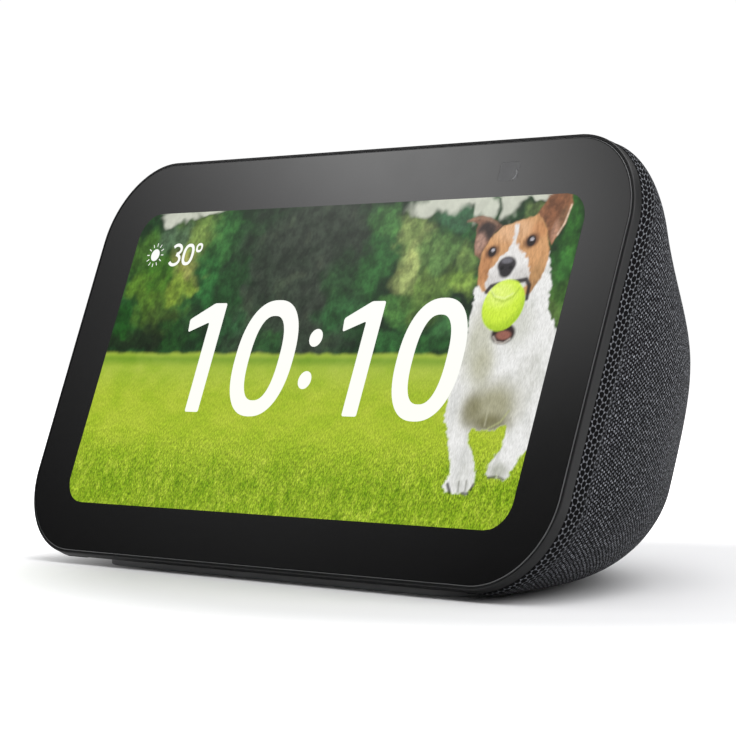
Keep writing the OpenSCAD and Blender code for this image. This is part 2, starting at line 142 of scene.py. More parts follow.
def tidy_normals():
    bpy.ops.mesh.select_all(action="SELECT")
    bpy.ops.mesh.remove_doubles(threshold=0.0005)
    bpy.ops.mesh.normals_make_consistent(inside=False)


def smooth_by_angle(piece, degrees=35):
    only(piece)
    bpy.ops.object.shade_smooth_by_angle(angle=math.radians(degrees))


def raise_in_steps(piece, steps):
    """Builds a flat face up in steps of (inset, height), the first of them where it lies."""
    only(piece)
    bpy.ops.object.mode_set(mode="EDIT")
    bpy.ops.mesh.select_all(action="SELECT")
    for before, after in zip(steps, steps[1:]):
        rise = after[1] - before[1]
        if after[0] == before[0]:
            bpy.ops.mesh.extrude_region_move(TRANSFORM_OT_translate={"value": (0, 0, rise)})
        else:
            bpy.ops.mesh.inset(thickness=after[0] - before[0], depth=rise)
    tidy_normals()
    bpy.ops.object.mode_set(mode="OBJECT")
    return piece


def rounded_slab(name, width, height, radius, steps, segments=20, middle=(0, 0)):
    """A rounded plate whose front rises in steps of (inset, height), the first of them its back."""
    piece = start(name, bpy.ops.mesh.primitive_plane_add, size=1, location=(middle[0], middle[1], steps[0][1]))
    piece.scale = (width, height, 1)
    bpy.ops.object.transform_apply(location=False, rotation=False, scale=True)
    bpy.ops.object.mode_set(mode="EDIT")
    bpy.ops.mesh.select_all(action="SELECT")
    bpy.ops.mesh.bevel(offset=radius, segments=segments, affect="VERTICES", profile=0.5)
    bpy.ops.object.mode_set(mode="OBJECT")
    return raise_in_steps(piece, steps)


def round_slab(name, radius, steps):
    """A round plate whose front rises in steps of (inset, height)."""
    piece = start(name, bpy.ops.mesh.primitive_circle_add, vertices=64, radius=radius, fill_type="NGON",
                  location=(0, 0, steps[0][1]))
    return raise_in_steps(piece, steps)


def cut_with(piece, tool):
    """Cuts a tool out of a piece and removes the tool."""
    bpy.context.view_layer.update()
    only(piece)
    cut = piece.modifiers.new("Cut", "BOOLEAN")
    cut.operation = "DIFFERENCE"
    cut.solver = "EXACT"
    cut.object = tool
    bpy.ops.object.modifier_apply(modifier="Cut")
    bpy.data.objects.remove(tool)


def cut_round(piece, middle, radius, low, high, mouth=None):
    """Cuts a round hole, with another radius at its high end if one is given."""
    tool = start("cutter", bpy.ops.mesh.primitive_cone_add, vertices=64, radius1=radius,
                 radius2=radius if mouth is None else mouth, depth=high - low,
                 location=(middle[0], middle[1], (low + high) / 2))
    cut_with(piece, tool)


def cut_box(piece, low, high, matrix=Matrix.Identity(4)):
    """Cuts a box, given in the piece's millimetres, out of a piece."""
    low, high = Vector(low), Vector(high)
    tool = start("cutter", bpy.ops.mesh.primitive_cube_add, size=1, location=(low + high) / 2)
    tool.scale = high - low
    bpy.ops.object.transform_apply(location=True, rotation=False, scale=True)
    tool.matrix_world = matrix
    cut_with(piece, tool)


def join(pieces):
    only(pieces[0])
    for piece in pieces:
        piece.select_set(True)
    bpy.context.view_layer.objects.active = pieces[0]
    bpy.ops.object.join()
    return pieces[0]


def finish_piece(piece, material, body, slot, *nodes):
    """Gives a piece its finish, its body, its material slot and the nodes it stands for."""
    piece.data.materials.clear()
    piece.data.materials.append(material)
    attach(piece, body)
    if nodes:
        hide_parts(*nodes)


# ---- Shape of the knitted body ----

def clip01(value):
    return np.clip(value, 0, 1)


def round_off(t):
    return 1 - np.sqrt(1 - clip01(t) ** 2)


def plane_y(z):
    return FACE_Y + (z - FACE_Z) * math.tan(LEAN)


def half_width(z):
    slope = (z - FACE_Z + BEZEL_DEPTH * math.sin(LEAN)) / math.cos(LEAN)
    drop = np.maximum(np.abs(slope) - (FACE_H / 2 - CORNER_R), 0)
    return FACE_W / 2 - CORNER_R + np.sqrt(np.maximum(CORNER_R ** 2 - drop ** 2, 0))


def run_back(z):
    slope = TOP_RUN + BACK_SLOPE * (RIDGE_Z - z)
    blend = -BACK_BLEND * np.log(np.exp(-slope / BACK_BLEND) + math.exp(-BODY_RUN / BACK_BLEND))
    ridge = RIDGE_RUN * round_off((z - RIDGE_Z + RIDGE_DROP) / RIDGE_DROP)
    return blend - ridge - HEM_ROUND * round_off(1 - (z - BASE_Z) / HEM_ROUND)


def cut_line(z, turn):
    """One level line of the body, from its right rim round the back to its left rim."""
    bow_x = np.sign(np.cos(turn)) * np.abs(np.cos(turn)) ** (2 / PLAN_POWER)
    bow_y = np.abs(np.sin(turn)) ** (2 / PLAN_POWER)
    return np.stack([half_width(z) * bow_x, plane_y(z) + RIM_RUN + (run_back(z) - RIM_RUN) * bow_y,
                     z + 0 * bow_x], -1)


# ---- Shader helpers ----

def new_finish(name):
    material = bpy.data.materials.new(name)
    material.use_nodes = True
    tree = material.node_tree
    tree.nodes.clear()
    shader = tree.nodes.new("ShaderNodeBsdfPrincipled")
    output = tree.nodes.new("ShaderNodeOutputMaterial")
    tree.links.new(shader.outputs["BSDF"], output.inputs["Surface"])
    return material, tree, shader


def feed(tree, socket, value):
    if isinstance(value, bpy.types.NodeSocket):
        tree.links.new(value, socket)
    else:
        socket.default_value = value


def calc(tree, operation, first, second=0.0, third=0.0):
    """One Math node, and its result."""
    node = tree.nodes.new("ShaderNodeMath")
    node.operation = operation
    for socket, value in zip(node.inputs, (first, second, third)):
        feed(tree, socket, value)
    return node.outputs[0]


def ramp_between(tree, value, low, high, start_at=0.0, end_at=1.0):
    """A value taken smoothly from one range to another."""
    node = tree.nodes.new("ShaderNodeMapRange")
    node.interpolation_type = "SMOOTHSTEP"
    for name, number in (("Value", value), ("From Min", low), ("From Max", high),
                         ("To Min", start_at), ("To Max", end_at)):
        feed(tree, node.inputs[name], number)
    return node.outputs["Result"]


def blend_colours(tree, factor, first, second):
    node = tree.nodes.new("ShaderNodeMix")
    node.data_type = "RGBA"
    feed(tree, node.inputs["Factor"], factor)
    for name, value in (("A", first), ("B", second)):
        socket = [s for s in node.inputs if s.name == name and s.type == "RGBA"][0]
        feed(tree, socket, value if isinstance(value, bpy.types.NodeSocket) else (*value[:3], 1.0))
    return [s for s in node.outputs if s.type == "RGBA"][0]


def noise(tree, vector, scale, detail=3.0, roughness=0.5):
    node = tree.nodes.new("ShaderNodeTexNoise")
    tree.links.new(vector, node.inputs["Vector"])
    feed(tree, node.inputs["Scale"], scale)
    node.inputs["Detail"].default_value = detail
    node.inputs["Roughness"].default_value = roughness
    return node.outputs["Fac"]


def bump(tree, shader, height, strength, distance):
    node = tree.nodes.new("ShaderNodeBump")
    node.inputs["Strength"].default_value = strength
    node.inputs["Distance"].default_value = distance
    tree.links.new(height, node.inputs["Height"])
    tree.links.new(node.outputs["Normal"], shader.inputs["Normal"])


def new_group(name, inputs, outputs):
    """A shader node group with named inputs and outputs, built once."""
    tree = bpy.data.node_groups.new(name, "ShaderNodeTree")
    for title, kind, default in inputs:
        socket = tree.interface.new_socket(title, in_out="INPUT", socket_type=kind)
        if default is not None:
            socket.default_value = default
    for title, kind in outputs:
        tree.interface.new_socket(title, in_out="OUTPUT", socket_type=kind)
    return tree, tree.nodes.new("NodeGroupInput").outputs, tree.nodes.new("NodeGroupOutput").inputs


def moulded_grain():
    """Fine moulded texture: two tones, a roughness that varies and a height."""
    found = bpy.data.node_groups.get("Moulded grain")
    if found:
        return found
    tree, given, out = new_group(
        "Moulded grain",
        [("Tone", "NodeSocketColor", (0.5, 0.5, 0.5, 1)), ("Shade", "NodeSocketColor", (0.3, 0.3, 0.3, 1)),
         ("Grain Scale", "NodeSocketFloat", 3000.0), ("Patch Scale", "NodeSocketFloat", 90.0),
         ("Roughness", "NodeSocketFloat", 0.5), ("Spread", "NodeSocketFloat", 0.1)],
        [("Color", "NodeSocketColor"), ("Roughness", "NodeSocketFloat"), ("Height", "NodeSocketFloat")])
    place = tree.nodes.new("ShaderNodeTexCoord").outputs["Object"]
    fine = noise(tree, place, given["Grain Scale"], 4.0, 0.6)
    patch = noise(tree, place, given["Patch Scale"], 2.0)
    mix = calc(tree, "ADD", calc(tree, "MULTIPLY", fine, 0.5), calc(tree, "MULTIPLY", patch, 0.5))
    tree.links.new(blend_colours(tree, mix, given["Tone"], given["Shade"]), out["Color"])
    lift = calc(tree, "MULTIPLY", calc(tree, "SUBTRACT", mix, 0.5), given["Spread"])
    tree.links.new(calc(tree, "ADD", given["Roughness"], lift), out["Roughness"])
    tree.links.new(fine, out["Height"])
    return tree


def brushed_lines():
    """Long fine scratches along one axis: two tones, a roughness and a height."""
    found = bpy.data.node_groups.get("Brushed lines")
    if found:
        return found
    tree, given, out = new_group(
        "Brushed lines",
        [("Tone", "NodeSocketColor", (0.5, 0.5, 0.5, 1)), ("Shade", "NodeSocketColor", (0.3, 0.3, 0.3, 1)),
         ("Line Scale", "NodeSocketFloat", 900.0), ("Roughness", "NodeSocketFloat", 0.35),
         ("Spread", "NodeSocketFloat", 0.2)],
        [("Color", "NodeSocketColor"), ("Roughness", "NodeSocketFloat"), ("Height", "NodeSocketFloat")])
    mapping = tree.nodes.new("ShaderNodeMapping")
    mapping.inputs["Scale"].default_value = (0.04, 1, 1)
    tree.links.new(tree.nodes.new("ShaderNodeTexCoord").outputs["Object"], mapping.inputs["Vector"])
    lines = noise(tree, mapping.outputs["Vector"], given["Line Scale"], 5.0, 0.7)
    tree.links.new(blend_colours(tree, lines, given["Tone"], given["Shade"]), out["Color"])
    lift = calc(tree, "MULTIPLY", calc(tree, "SUBTRACT", lines, 0.5), given["Spread"])
    tree.links.new(calc(tree, "ADD", given["Roughness"], lift), out["Roughness"])
    tree.links.new(lines, out["Height"])
    return tree


def knit_cells():
    """A net of rounded six-sided holes at one pitch, in millimetres: 1 on the yarn and 0 in the holes."""
    found = bpy.data.node_groups.get("Knit cells")
    if found:
        return found
    tree, given, out = new_group(
        "Knit cells",
        [("Vector", "NodeSocketVector", None), ("Pitch", "NodeSocketFloat", 0.6),
         ("Yarn Edge", "NodeSocketFloat", -0.9), ("Hole Edge", "NodeSocketFloat", -0.2),
         ("Wobble", "NodeSocketFloat", 0.2)],
        [("Yarn", "NodeSocketFloat")])
    stir = tree.nodes.new("ShaderNodeTexNoise")
    tree.links.new(given["Vector"], stir.inputs["Vector"])
    tree.links.new(calc(tree, "DIVIDE", 0.7, given["Pitch"]), stir.inputs["Scale"])
    centred = tree.nodes.new("ShaderNodeVectorMath")
    centred.operation = "SUBTRACT"
    tree.links.new(stir.outputs["Color"], centred.inputs[0])
    centred.inputs[1].default_value = (0.5, 0.5, 0.5)
    shift = tree.nodes.new("ShaderNodeVectorMath")
    shift.operation = "SCALE"
    tree.links.new(centred.outputs[0], shift.inputs[0])
    tree.links.new(calc(tree, "MULTIPLY", given["Wobble"], given["Pitch"]), shift.inputs["Scale"])
    moved = tree.nodes.new("ShaderNodeVectorMath")
    moved.operation = "ADD"
    tree.links.new(given["Vector"], moved.inputs[0])
    tree.links.new(shift.outputs[0], moved.inputs[1])
    parts = tree.nodes.new("ShaderNodeSeparateXYZ")
    tree.links.new(moved.outputs[0], parts.inputs[0])
    wave = calc(tree, "DIVIDE", 4 * math.pi / math.sqrt(3), given["Pitch"])
    across = calc(tree, "MULTIPLY", calc(tree, "MULTIPLY", parts.outputs[1], wave), math.sqrt(3) / 2)
    along = calc(tree, "MULTIPLY", parts.outputs[0], wave)
    half = calc(tree, "MULTIPLY", along, 0.5)
    total = calc(tree, "ADD", calc(tree, "COSINE", along), calc(tree, "ADD",
                 calc(tree, "COSINE", calc(tree, "SUBTRACT", across, half)),
                 calc(tree, "COSINE", calc(tree, "ADD", across, half))))
    tree.links.new(ramp_between(tree, total, given["Yarn Edge"], given["Hole Edge"], 1.0, 0.0), out["Yarn"])
    return tree


def use_group(tree, group, **values):
    node = tree.nodes.new("ShaderNodeGroup")
    node.node_tree = group
    for title, value in values.items():
        feed(tree, node.inputs[title.replace("_", " ")], value)
    return node.outputs


def plain_finish(name, tone, shade, roughness, spread=0.12, grain=3000.0, patch=90.0, metallic=0.0,
                 coat=0.0, brushed=False, shine=0.5):
    """A moulded, painted, rubber or metal finish."""
    found = bpy.data.materials.get(name)
    if found:
        return found
    material, tree, shader = new_finish(name)
    if brushed:
        out = use_group(tree, brushed_lines(), Tone=(*tone, 1), Shade=(*shade, 1), Roughness=roughness,
                        Spread=spread)
    else:
        out = use_group(tree, moulded_grain(), Tone=(*tone, 1), Shade=(*shade, 1), Roughness=roughness,
                        Spread=spread, Grain_Scale=grain, Patch_Scale=patch)
    tree.links.new(out["Color"], shader.inputs["Base Color"])
    tree.links.new(out["Roughness"], shader.inputs["Roughness"])
    shader.inputs["Metallic"].default_value = metallic
    shader.inputs["Coat Weight"].default_value = coat
    shader.inputs["Specular IOR Level"].default_value = shine
    bump(tree, shader, out["Height"], 0.4, GRAIN_DEPTH)
    return material


def satin_button():
    return plain_finish("Satin button", (0.02, 0.0205, 0.022), (0.027, 0.0275, 0.029), 0.38, 0.1, 5200)


def black_moulding():
    return plain_finish("Black moulding", (0.012, 0.012, 0.013), (0.018, 0.018, 0.019), 0.45, 0.12, 3600)


def grey_rubber():
    return plain_finish("Grey rubber", (0.15, 0.152, 0.156), (0.2, 0.202, 0.206), 0.5, 0.15, 2400)


def glass_finish():
    found = bpy.data.materials.get("Black glass")
    if found:
        return found
    material, tree, shader = new_finish("Black glass")
    place = tree.nodes.new("ShaderNodeTexCoord").outputs["Object"]
    haze = noise(tree, place, 35.0, 4.0, 0.6)
    tree.links.new(blend_colours(tree, haze, (0.0026, 0.0026, 0.0028), (0.0042, 0.0042, 0.0045)),
                   shader.inputs["Base Color"])
    tree.links.new(ramp_between(tree, haze, 0.3, 0.7, 0.1, 0.16), shader.inputs["Roughness"])
    shader.inputs["IOR"].default_value = 1.5
    return material


def lit_finish(name, attribute, strength, detail=False):
    """A lit picture or mark under the glass: its own colours, and the glass's gloss over them."""
    material, tree, shader = new_finish(name)
    place = tree.nodes.new("ShaderNodeTexCoord").outputs["Object"]
    haze = noise(tree, place, 35.0, 4.0, 0.6)
    colours = tree.nodes.new("ShaderNodeVertexColor")
    colours.layer_name = attribute
    light = colours.outputs["Color"]
    if detail:
        light = fine_detail(tree, light)
    tree.links.new(light, shader.inputs["Emission Color"])
    tree.links.new(blend_colours(tree, haze, (0.002, 0.002, 0.002), (0.003, 0.003, 0.003)),
                   shader.inputs["Base Color"])
    tree.links.new(ramp_between(tree, haze, 0.3, 0.7, 0.1, 0.16), shader.inputs["Roughness"])
    shader.inputs["Emission Strength"].default_value = strength
    shader.inputs["Specular IOR Level"].default_value = 0.14
    shader.inputs["IOR"].default_value = 1.5
    return material


def stretched_noise(tree, vector, turn, scale, seed, low, high, darkest, lightest):
    """Streaks along one way, as a factor between two numbers."""
    mapping = tree.nodes.new("ShaderNodeMapping")
    mapping.inputs["Rotation"].default_value = (0, 0, math.radians(turn))
    mapping.inputs["Scale"].default_value = (*scale, 1)
    mapping.inputs["Location"].default_value = (seed, seed, 0)
    tree.links.new(vector, mapping.inputs["Vector"])
    field = noise(tree, mapping.outputs["Vector"], 1.0, 2.0, 0.55)
    return ramp_between(tree, field, low, high, darkest, lightest)


def fine_detail(tree, light):
    """Leaves, blades and fur finer than the painted points, each where its share says."""
    shares = tree.nodes.new("ShaderNodeVertexColor")
    shares.layer_name = "shares"
    parts = tree.nodes.new("ShaderNodeSeparateColor")
    tree.links.new(shares.outputs["Color"], parts.inputs[0])
    sheet = tree.nodes.new("ShaderNodeUVMap")
    sheet.uv_map = "sheet"
    uv = sheet.outputs["UV"]
    leaves = calc(tree, "MULTIPLY", stretched_noise(tree, uv, 20, (0.42, 0.38), 3, 0.33, 0.67, 0.72, 1.3),
                  stretched_noise(tree, uv, -15, (1.3, 1.1), 7, 0.3, 0.7, 0.86, 1.15))
    blades = calc(tree, "MULTIPLY", stretched_noise(tree, uv, -10, (3.2, 1.3), 5, 0.3, 0.7, 0.62, 1.45),
                  stretched_noise(tree, uv, 14, (4.4, 2.4), 9, 0.3, 0.7, 0.74, 1.3))
    fur = calc(tree, "MULTIPLY", stretched_noise(tree, uv, 14, (4.2, 1.1), 2, 0.3, 0.7, 0.9, 1.07),
               stretched_noise(tree, uv, -20, (2.6, 0.9), 4, 0.3, 0.7, 0.94, 1.05))
    factor = 1.0
    for share, value in zip(parts.outputs, (leaves, blades, fur)):
        gain = calc(tree, "MULTIPLY_ADD", calc(tree, "SUBTRACT", value, 1.0), share, 1.0)
        factor = calc(tree, "MULTIPLY", gain, factor)
    scaled = tree.nodes.new("ShaderNodeVectorMath")
    scaled.operation = "SCALE"
    tree.links.new(light, scaled.inputs[0])
    tree.links.new(factor, scaled.inputs["Scale"])
    return scaled.outputs[0]


def bezel_finish():
    return plain_finish("Satin bezel", (0.0065, 0.0066, 0.007), (0.009, 0.0092, 0.0098), 0.4, 0.1, 5200, 60,
                        shine=0.3)


def knit_finish(look):
    material, tree, shader = new_finish("Charcoal knit")
    threads = tree.nodes.new("ShaderNodeUVMap")
    threads.uv_map = "knit"
    cloth = threads.outputs["UV"]
    place = tree.nodes.new("ShaderNodeTexCoord").outputs["Object"]
    from_rim = tree.nodes.new("ShaderNodeVectorMath")
    from_rim.operation = "DOT_PRODUCT"
    tree.links.new(place, from_rim.inputs[0])
    from_rim.inputs[1].default_value = (0, math.cos(LEAN) * 1000, -math.sin(LEAN) * 1000)
    rim_at = (FACE_Y * math.cos(LEAN) - FACE_Z * math.sin(LEAN)) + KNIT_FRONT
    away = calc(tree, "SUBTRACT", from_rim.outputs["Value"], rim_at)
    stray = noise(tree, cloth, 0.5, 2.0)
    fine_share = ramp_between(tree, calc(tree, "ADD", away, calc(tree, "MULTIPLY", stray, 2.4)), 4.2, 6.8)
    open_net = use_group(tree, knit_cells(), Vector=cloth, Pitch=look.open_pitch * 1000, Yarn_Edge=-1.2,
                         Hole_Edge=-0.75, Wobble=0.55)["Yarn"]
    fine_net = use_group(tree, knit_cells(), Vector=cloth, Pitch=look.knit_pitch * 1000, Yarn_Edge=1.3,
                         Hole_Edge=-0.9, Wobble=0.9)["Yarn"]
    net = tree.nodes.new("ShaderNodeMix")
    for socket, value in zip([s for s in net.inputs if s.type == "VALUE"], (fine_share, open_net, fine_net)):
        feed(tree, socket, value)
    yarn = [s for s in net.outputs if s.type == "VALUE"][0]
    lights = noise(tree, cloth, 1.3, 4.0, 0.85)
    speck = ramp_between(tree, lights, 0.45, 0.62)
    tone = blend_colours(tree, speck, look.yarn, look.yarn_light)
    edge_tone = blend_colours(tree, fine_share, blend_colours(tree, lights, look.yarn, look.yarn_edge), tone)
    # Painted shade: the holes take a near black colour that stands in for the shaded inside seen through the knit.
    tree.links.new(blend_colours(tree, yarn, look.hole, edge_tone), shader.inputs["Base Color"])
    tree.links.new(ramp_between(tree, yarn, 0.0, 1.0, 0.95, 0.6), shader.inputs["Roughness"])
    shader.inputs["Specular IOR Level"].default_value = 0.12
    bump(tree, shader, calc(tree, "ADD", yarn, calc(tree, "MULTIPLY", lights, 0.3)), 0.9, 0.0003)
    return material


# ---- The picture on the display ----

def value_noise(x, y, seed):
    """Soft random field of 0 to 1 with a period of one unit."""
    table = np.random.RandomState(seed).rand(97, 97)
    col, row = np.floor(x).astype(int), np.floor(y).astype(int)
    u, v = x - col, y - row
    u, v = u * u * (3 - 2 * u), v * v * (3 - 2 * v)
    corner = [[table[(row + j) % 97, (col + i) % 97] for i in (0, 1)] for j in (0, 1)]
    low = corner[0][0] * (1 - u) + corner[0][1] * u
    high = corner[1][0] * (1 - u) + corner[1][1] * u
    return low * (1 - v) + high * v


def clouds(x, y, seed):
    """Soft random field with finer ones laid over it."""
    total, weight = 0, 0
    for k in range(3):
        total = total + value_noise(x * 2 ** k, y * 2 ** k, seed + k) / 1.8 ** k
        weight += 1 / 1.8 ** k
    return total / weight


def soft_step(low, high, value):
    t = clip01((value - low) / (high - low))
    return t * t * (3 - 2 * t)


class Picture:
    """Colours laid over each other on the points of a sheet, in millimetres from its centre."""

    def __init__(self, x, y):
        self.x, self.y = x, y
        self.light = np.zeros((len(x), 3))
        self.shares = np.zeros((len(x), 3))

    def lay(self, mask, colour):
        colour = np.array(linear(*colour)) if not isinstance(colour, np.ndarray) else colour
        self.light = self.light * (1 - mask[:, None]) + colour * mask[:, None]

    def grain(self, mask, leaves, blades, fur):
        """Sets the share of each fine texture."""
        self.shares = self.shares * (1 - mask[:, None]) + np.array([leaves, blades, fur]) * mask[:, None]

    def tint(self, mask, factor):
        self.light = self.light * (1 + (factor - 1) * mask[:, None])

    def blob(self, x, y, rx, ry, soft=1.0, turn=0.0):
        """1 inside an ellipse, fading over the given share of its size."""
        c, s = math.cos(math.radians(turn)), math.sin(math.radians(turn))
        u, v = (self.x - x) * c + (self.y - y) * s, (self.y - y) * c - (self.x - x) * s
        return soft_step(1 + soft / 2, 1 - soft / 2, np.hypot(u / rx, v / ry))

    def shape(self, points, soft=0.3, ragged=0.0, grain=1.2):
        """1 inside a closed outline, its edge made ragged as fur is."""
        x = self.x + ragged * (value_noise(self.x * grain, self.y * grain, 31) - 0.5)
        y = self.y + ragged * (value_noise(self.x * grain, self.y * grain, 57) - 0.5)
        near = np.full(len(x), 1e9)
        inside = np.zeros(len(x), bool)
        for (x0, y0), (x1, y1) in zip(points, points[1:] + points[:1]):
            dx, dy = x1 - x0, y1 - y0
            t = clip01(((x - x0) * dx + (y - y0) * dy) / (dx * dx + dy * dy))
            near = np.minimum(near, np.hypot(x - x0 - t * dx, y - y0 - t * dy))
            if y0 != y1:
                inside ^= ((y0 > y) != (y1 > y)) & (x < dx * (y - y0) / dy + x0)
        return soft_step(-soft, soft, np.where(inside, near, -near))

    def line(self, points, width):
        """1 along a line through the points."""
        near = np.full(len(self.x), 1e9)
        for (x0, y0), (x1, y1) in zip(points, points[1:]):
            dx, dy = x1 - x0, y1 - y0
            t = clip01(((self.x - x0) * dx + (self.y - y0) * dy) / (dx * dx + dy * dy))
            near = np.minimum(near, np.hypot(self.x - x0 - t * dx, self.y - y0 - t * dy))
        return soft_step(width / 2 + 0.25, width / 2 - 0.25, near)


def paint_trees(art):
    x, y = art.x, art.y
    art.grain(np.ones(len(x)), 1, 0, 0)
    art.x = x + 5 * (value_noise(x / 3.6, y / 3.6, 201) - 0.5) + 1.8 * (value_noise(x / 1.3, y / 1.3, 203) - 0.5)
    art.y = y + 4 * (value_noise(x / 3.6, y / 3.6, 207) - 0.5) + 1.6 * (value_noise(x / 1.3, y / 1.3, 209) - 0.5)
    art.lay(np.ones(len(x)), (22, 54, 24))
    soft = clouds(x / 6, y / 5, 3)
    art.lay(soft_step(0.48, 0.7, soft) * 0.7, (38, 88, 38))
    art.lay(soft_step(0.45, 0.25, soft) * 0.7, (14, 34, 16))
    for cx, cy, rx, ry in ((-14, 13, 15, 24), (-4, 22, 15, 15), (2, 12, 8, 16)):
        art.lay(art.blob(cx, cy, rx, ry, 0.9) * 0.75, (50, 59, 48))
    for cx, cy, rx, ry, colour in (
        (-58, 22, 7, 5, (68, 108, 36)), (-59, 15, 4, 3, (88, 126, 36)), (-52, 18, 5, 4, (66, 114, 28)),
        (-52, 12, 5, 4, (74, 106, 30)), (-44, 19, 4.5, 5.5, (150, 152, 80)), (-44.5, 14.5, 4, 3, (118, 146, 46)),
        (-43, 26, 6, 4, (122, 148, 72)), (-52, 26, 5, 3, (80, 106, 78)), (-36, 23, 4.5, 7, (52, 104, 48)),
        (-36, 15, 4, 5, (40, 96, 44)), (-48, 8.5, 7, 3, (60, 84, 30)), (-60, 7, 4, 4, (24, 74, 18)),
        (-52, 4, 6, 3.4, (24, 38, 18)), (-42, 4, 5, 3, (30, 74, 26)), (-60, 2, 5, 2, (18, 32, 14)),
        (-36, 7, 5, 3, (28, 56, 28)), (-27, 6, 5, 3, (44, 88, 50)), (-28, 15, 4, 5, (28, 70, 30)),
        (-13, 3.5, 5, 2.5, (34, 74, 34)), (5, 9, 6, 4, (44, 94, 48)), (4, 15, 5, 6, (36, 72, 36)),
        (12, 20, 4, 8, (46, 98, 44)), (23, 18.5, 4.6, 5.5, (160, 174, 104)), (20, 25, 4, 4, (136, 156, 88)),
        (28, 20, 4, 4, (92, 128, 66)), (29, 14, 5, 3, (98, 126, 56)), (36, 19, 3.5, 3.5, (106, 134, 68)),
        (36, 14.5, 3.5, 2.6, (130, 160, 68)), (21, 10, 4, 3, (66, 112, 50)), (29, 10, 5, 4, (84, 114, 50)),
        (20, 3, 5, 2, (44, 96, 44)), (37, 6, 4, 3, (54, 100, 54)), (31, 27, 5, 2.5, (66, 112, 78)),
        (13, 28, 4, 3, (66, 112, 54)), (60, 24, 3.5, 7, (40, 90, 28)), (59, 18, 3.5, 4, (50, 104, 40)),
        (60, 12, 4, 4, (70, 110, 44)), (52, 28, 4, 2, (90, 110, 60)), (58, 8, 5, 3, (84, 112, 54)),
    ):
        art.lay(art.blob(cx, cy, rx, ry, 0.9) * 0.85, colour)
    light = value_noise(x / 1.9, y / 1.7, 221) * value_noise(x / 4.4, y / 4, 223)
    art.tint(soft_step(0.34, 0.62, light), np.array([1.45, 1.35, 1.3]))
    art.tint(soft_step(0.2, 0.06, light), np.array([0.66, 0.72, 0.66]))
    for cx, cy, rx, ry in ((-51, 31, 6, 1.9), (-41, 31.8, 4, 1.2), (26, 31, 7, 2.6), (37, 30.2, 2.4, 3.4),
                           (43.5, 30.4, 2.8, 3.2), (32, 32, 6, 1.6), (49, 31.5, 4, 1.2)):
        patch = art.blob(cx, cy, rx, ry, 0.7) * 0.9
        art.lay(patch, (206, 209, 194))
        art.grain(patch, 0.1, 0, 0)
    art.x, art.y = x, y


def paint_grass(art):
    x, y = art.x, art.y
    ground = soft_step(1.3, 0.2, y + 0.5 * (value_noise(x / 2.5, y * 0, 5) - 0.5))
    far = soft_step(-9, 0.5, y)
    near = soft_step(-13, -26, y)
    base = np.array(linear(166, 188, 48)) * np.ones((len(x), 1))
    base = base * (1 - far[:, None]) + np.array(linear(164, 187, 64)) * far[:, None]
    base = base * (1 - near[:, None]) + np.array(linear(136, 164, 34)) * near[:, None]
    art.lay(ground, base)
    art.grain(ground, 0, 0, 0)
    art.grain(ground * soft_step(3, -10, y), 0, 0.35, 0)
    art.grain(ground * soft_step(-10, -24, y), 0, 1, 0)
    art.tint(ground * soft_step(0.9, -0.6, y) * soft_step(-2.6, -0.4, y), np.array([0.55, 0.7, 0.5]))
    mottle = clouds(x / 5, y / 2.6, 71)
    art.tint(ground * soft_step(0.5, 0.25, mottle) * 0.8, np.array([0.86, 0.93, 0.7]))
    art.tint(ground * soft_step(0.5, 0.75, mottle) * 0.8, np.array([1.12, 1.06, 1.35]))
    reach = soft_step(-13, -27, y)
    for turn, seed, across, along in ((0.25, 5, 0.42, 2.2), (-0.3, 9, 0.36, 1.9), (0.05, 15, 0.3, 1.4)):
        blade = value_noise((x + turn * y) / across, (y - turn * x) / along, seed)
        art.tint(ground * reach * soft_step(0.6, 0.85, blade), np.array([1.22, 1.16, 1.5]))
        art.tint(ground * reach * soft_step(0.42, 0.12, blade), np.array([0.8, 0.86, 0.7]))
    tuft = clouds(x / 1.1, y / 0.8, 83)
    art.tint(ground * (0.25 + 0.75 * reach) * soft_step(0.5, 0.3, tuft) * 0.6, np.array([0.7, 0.8, 0.55]))


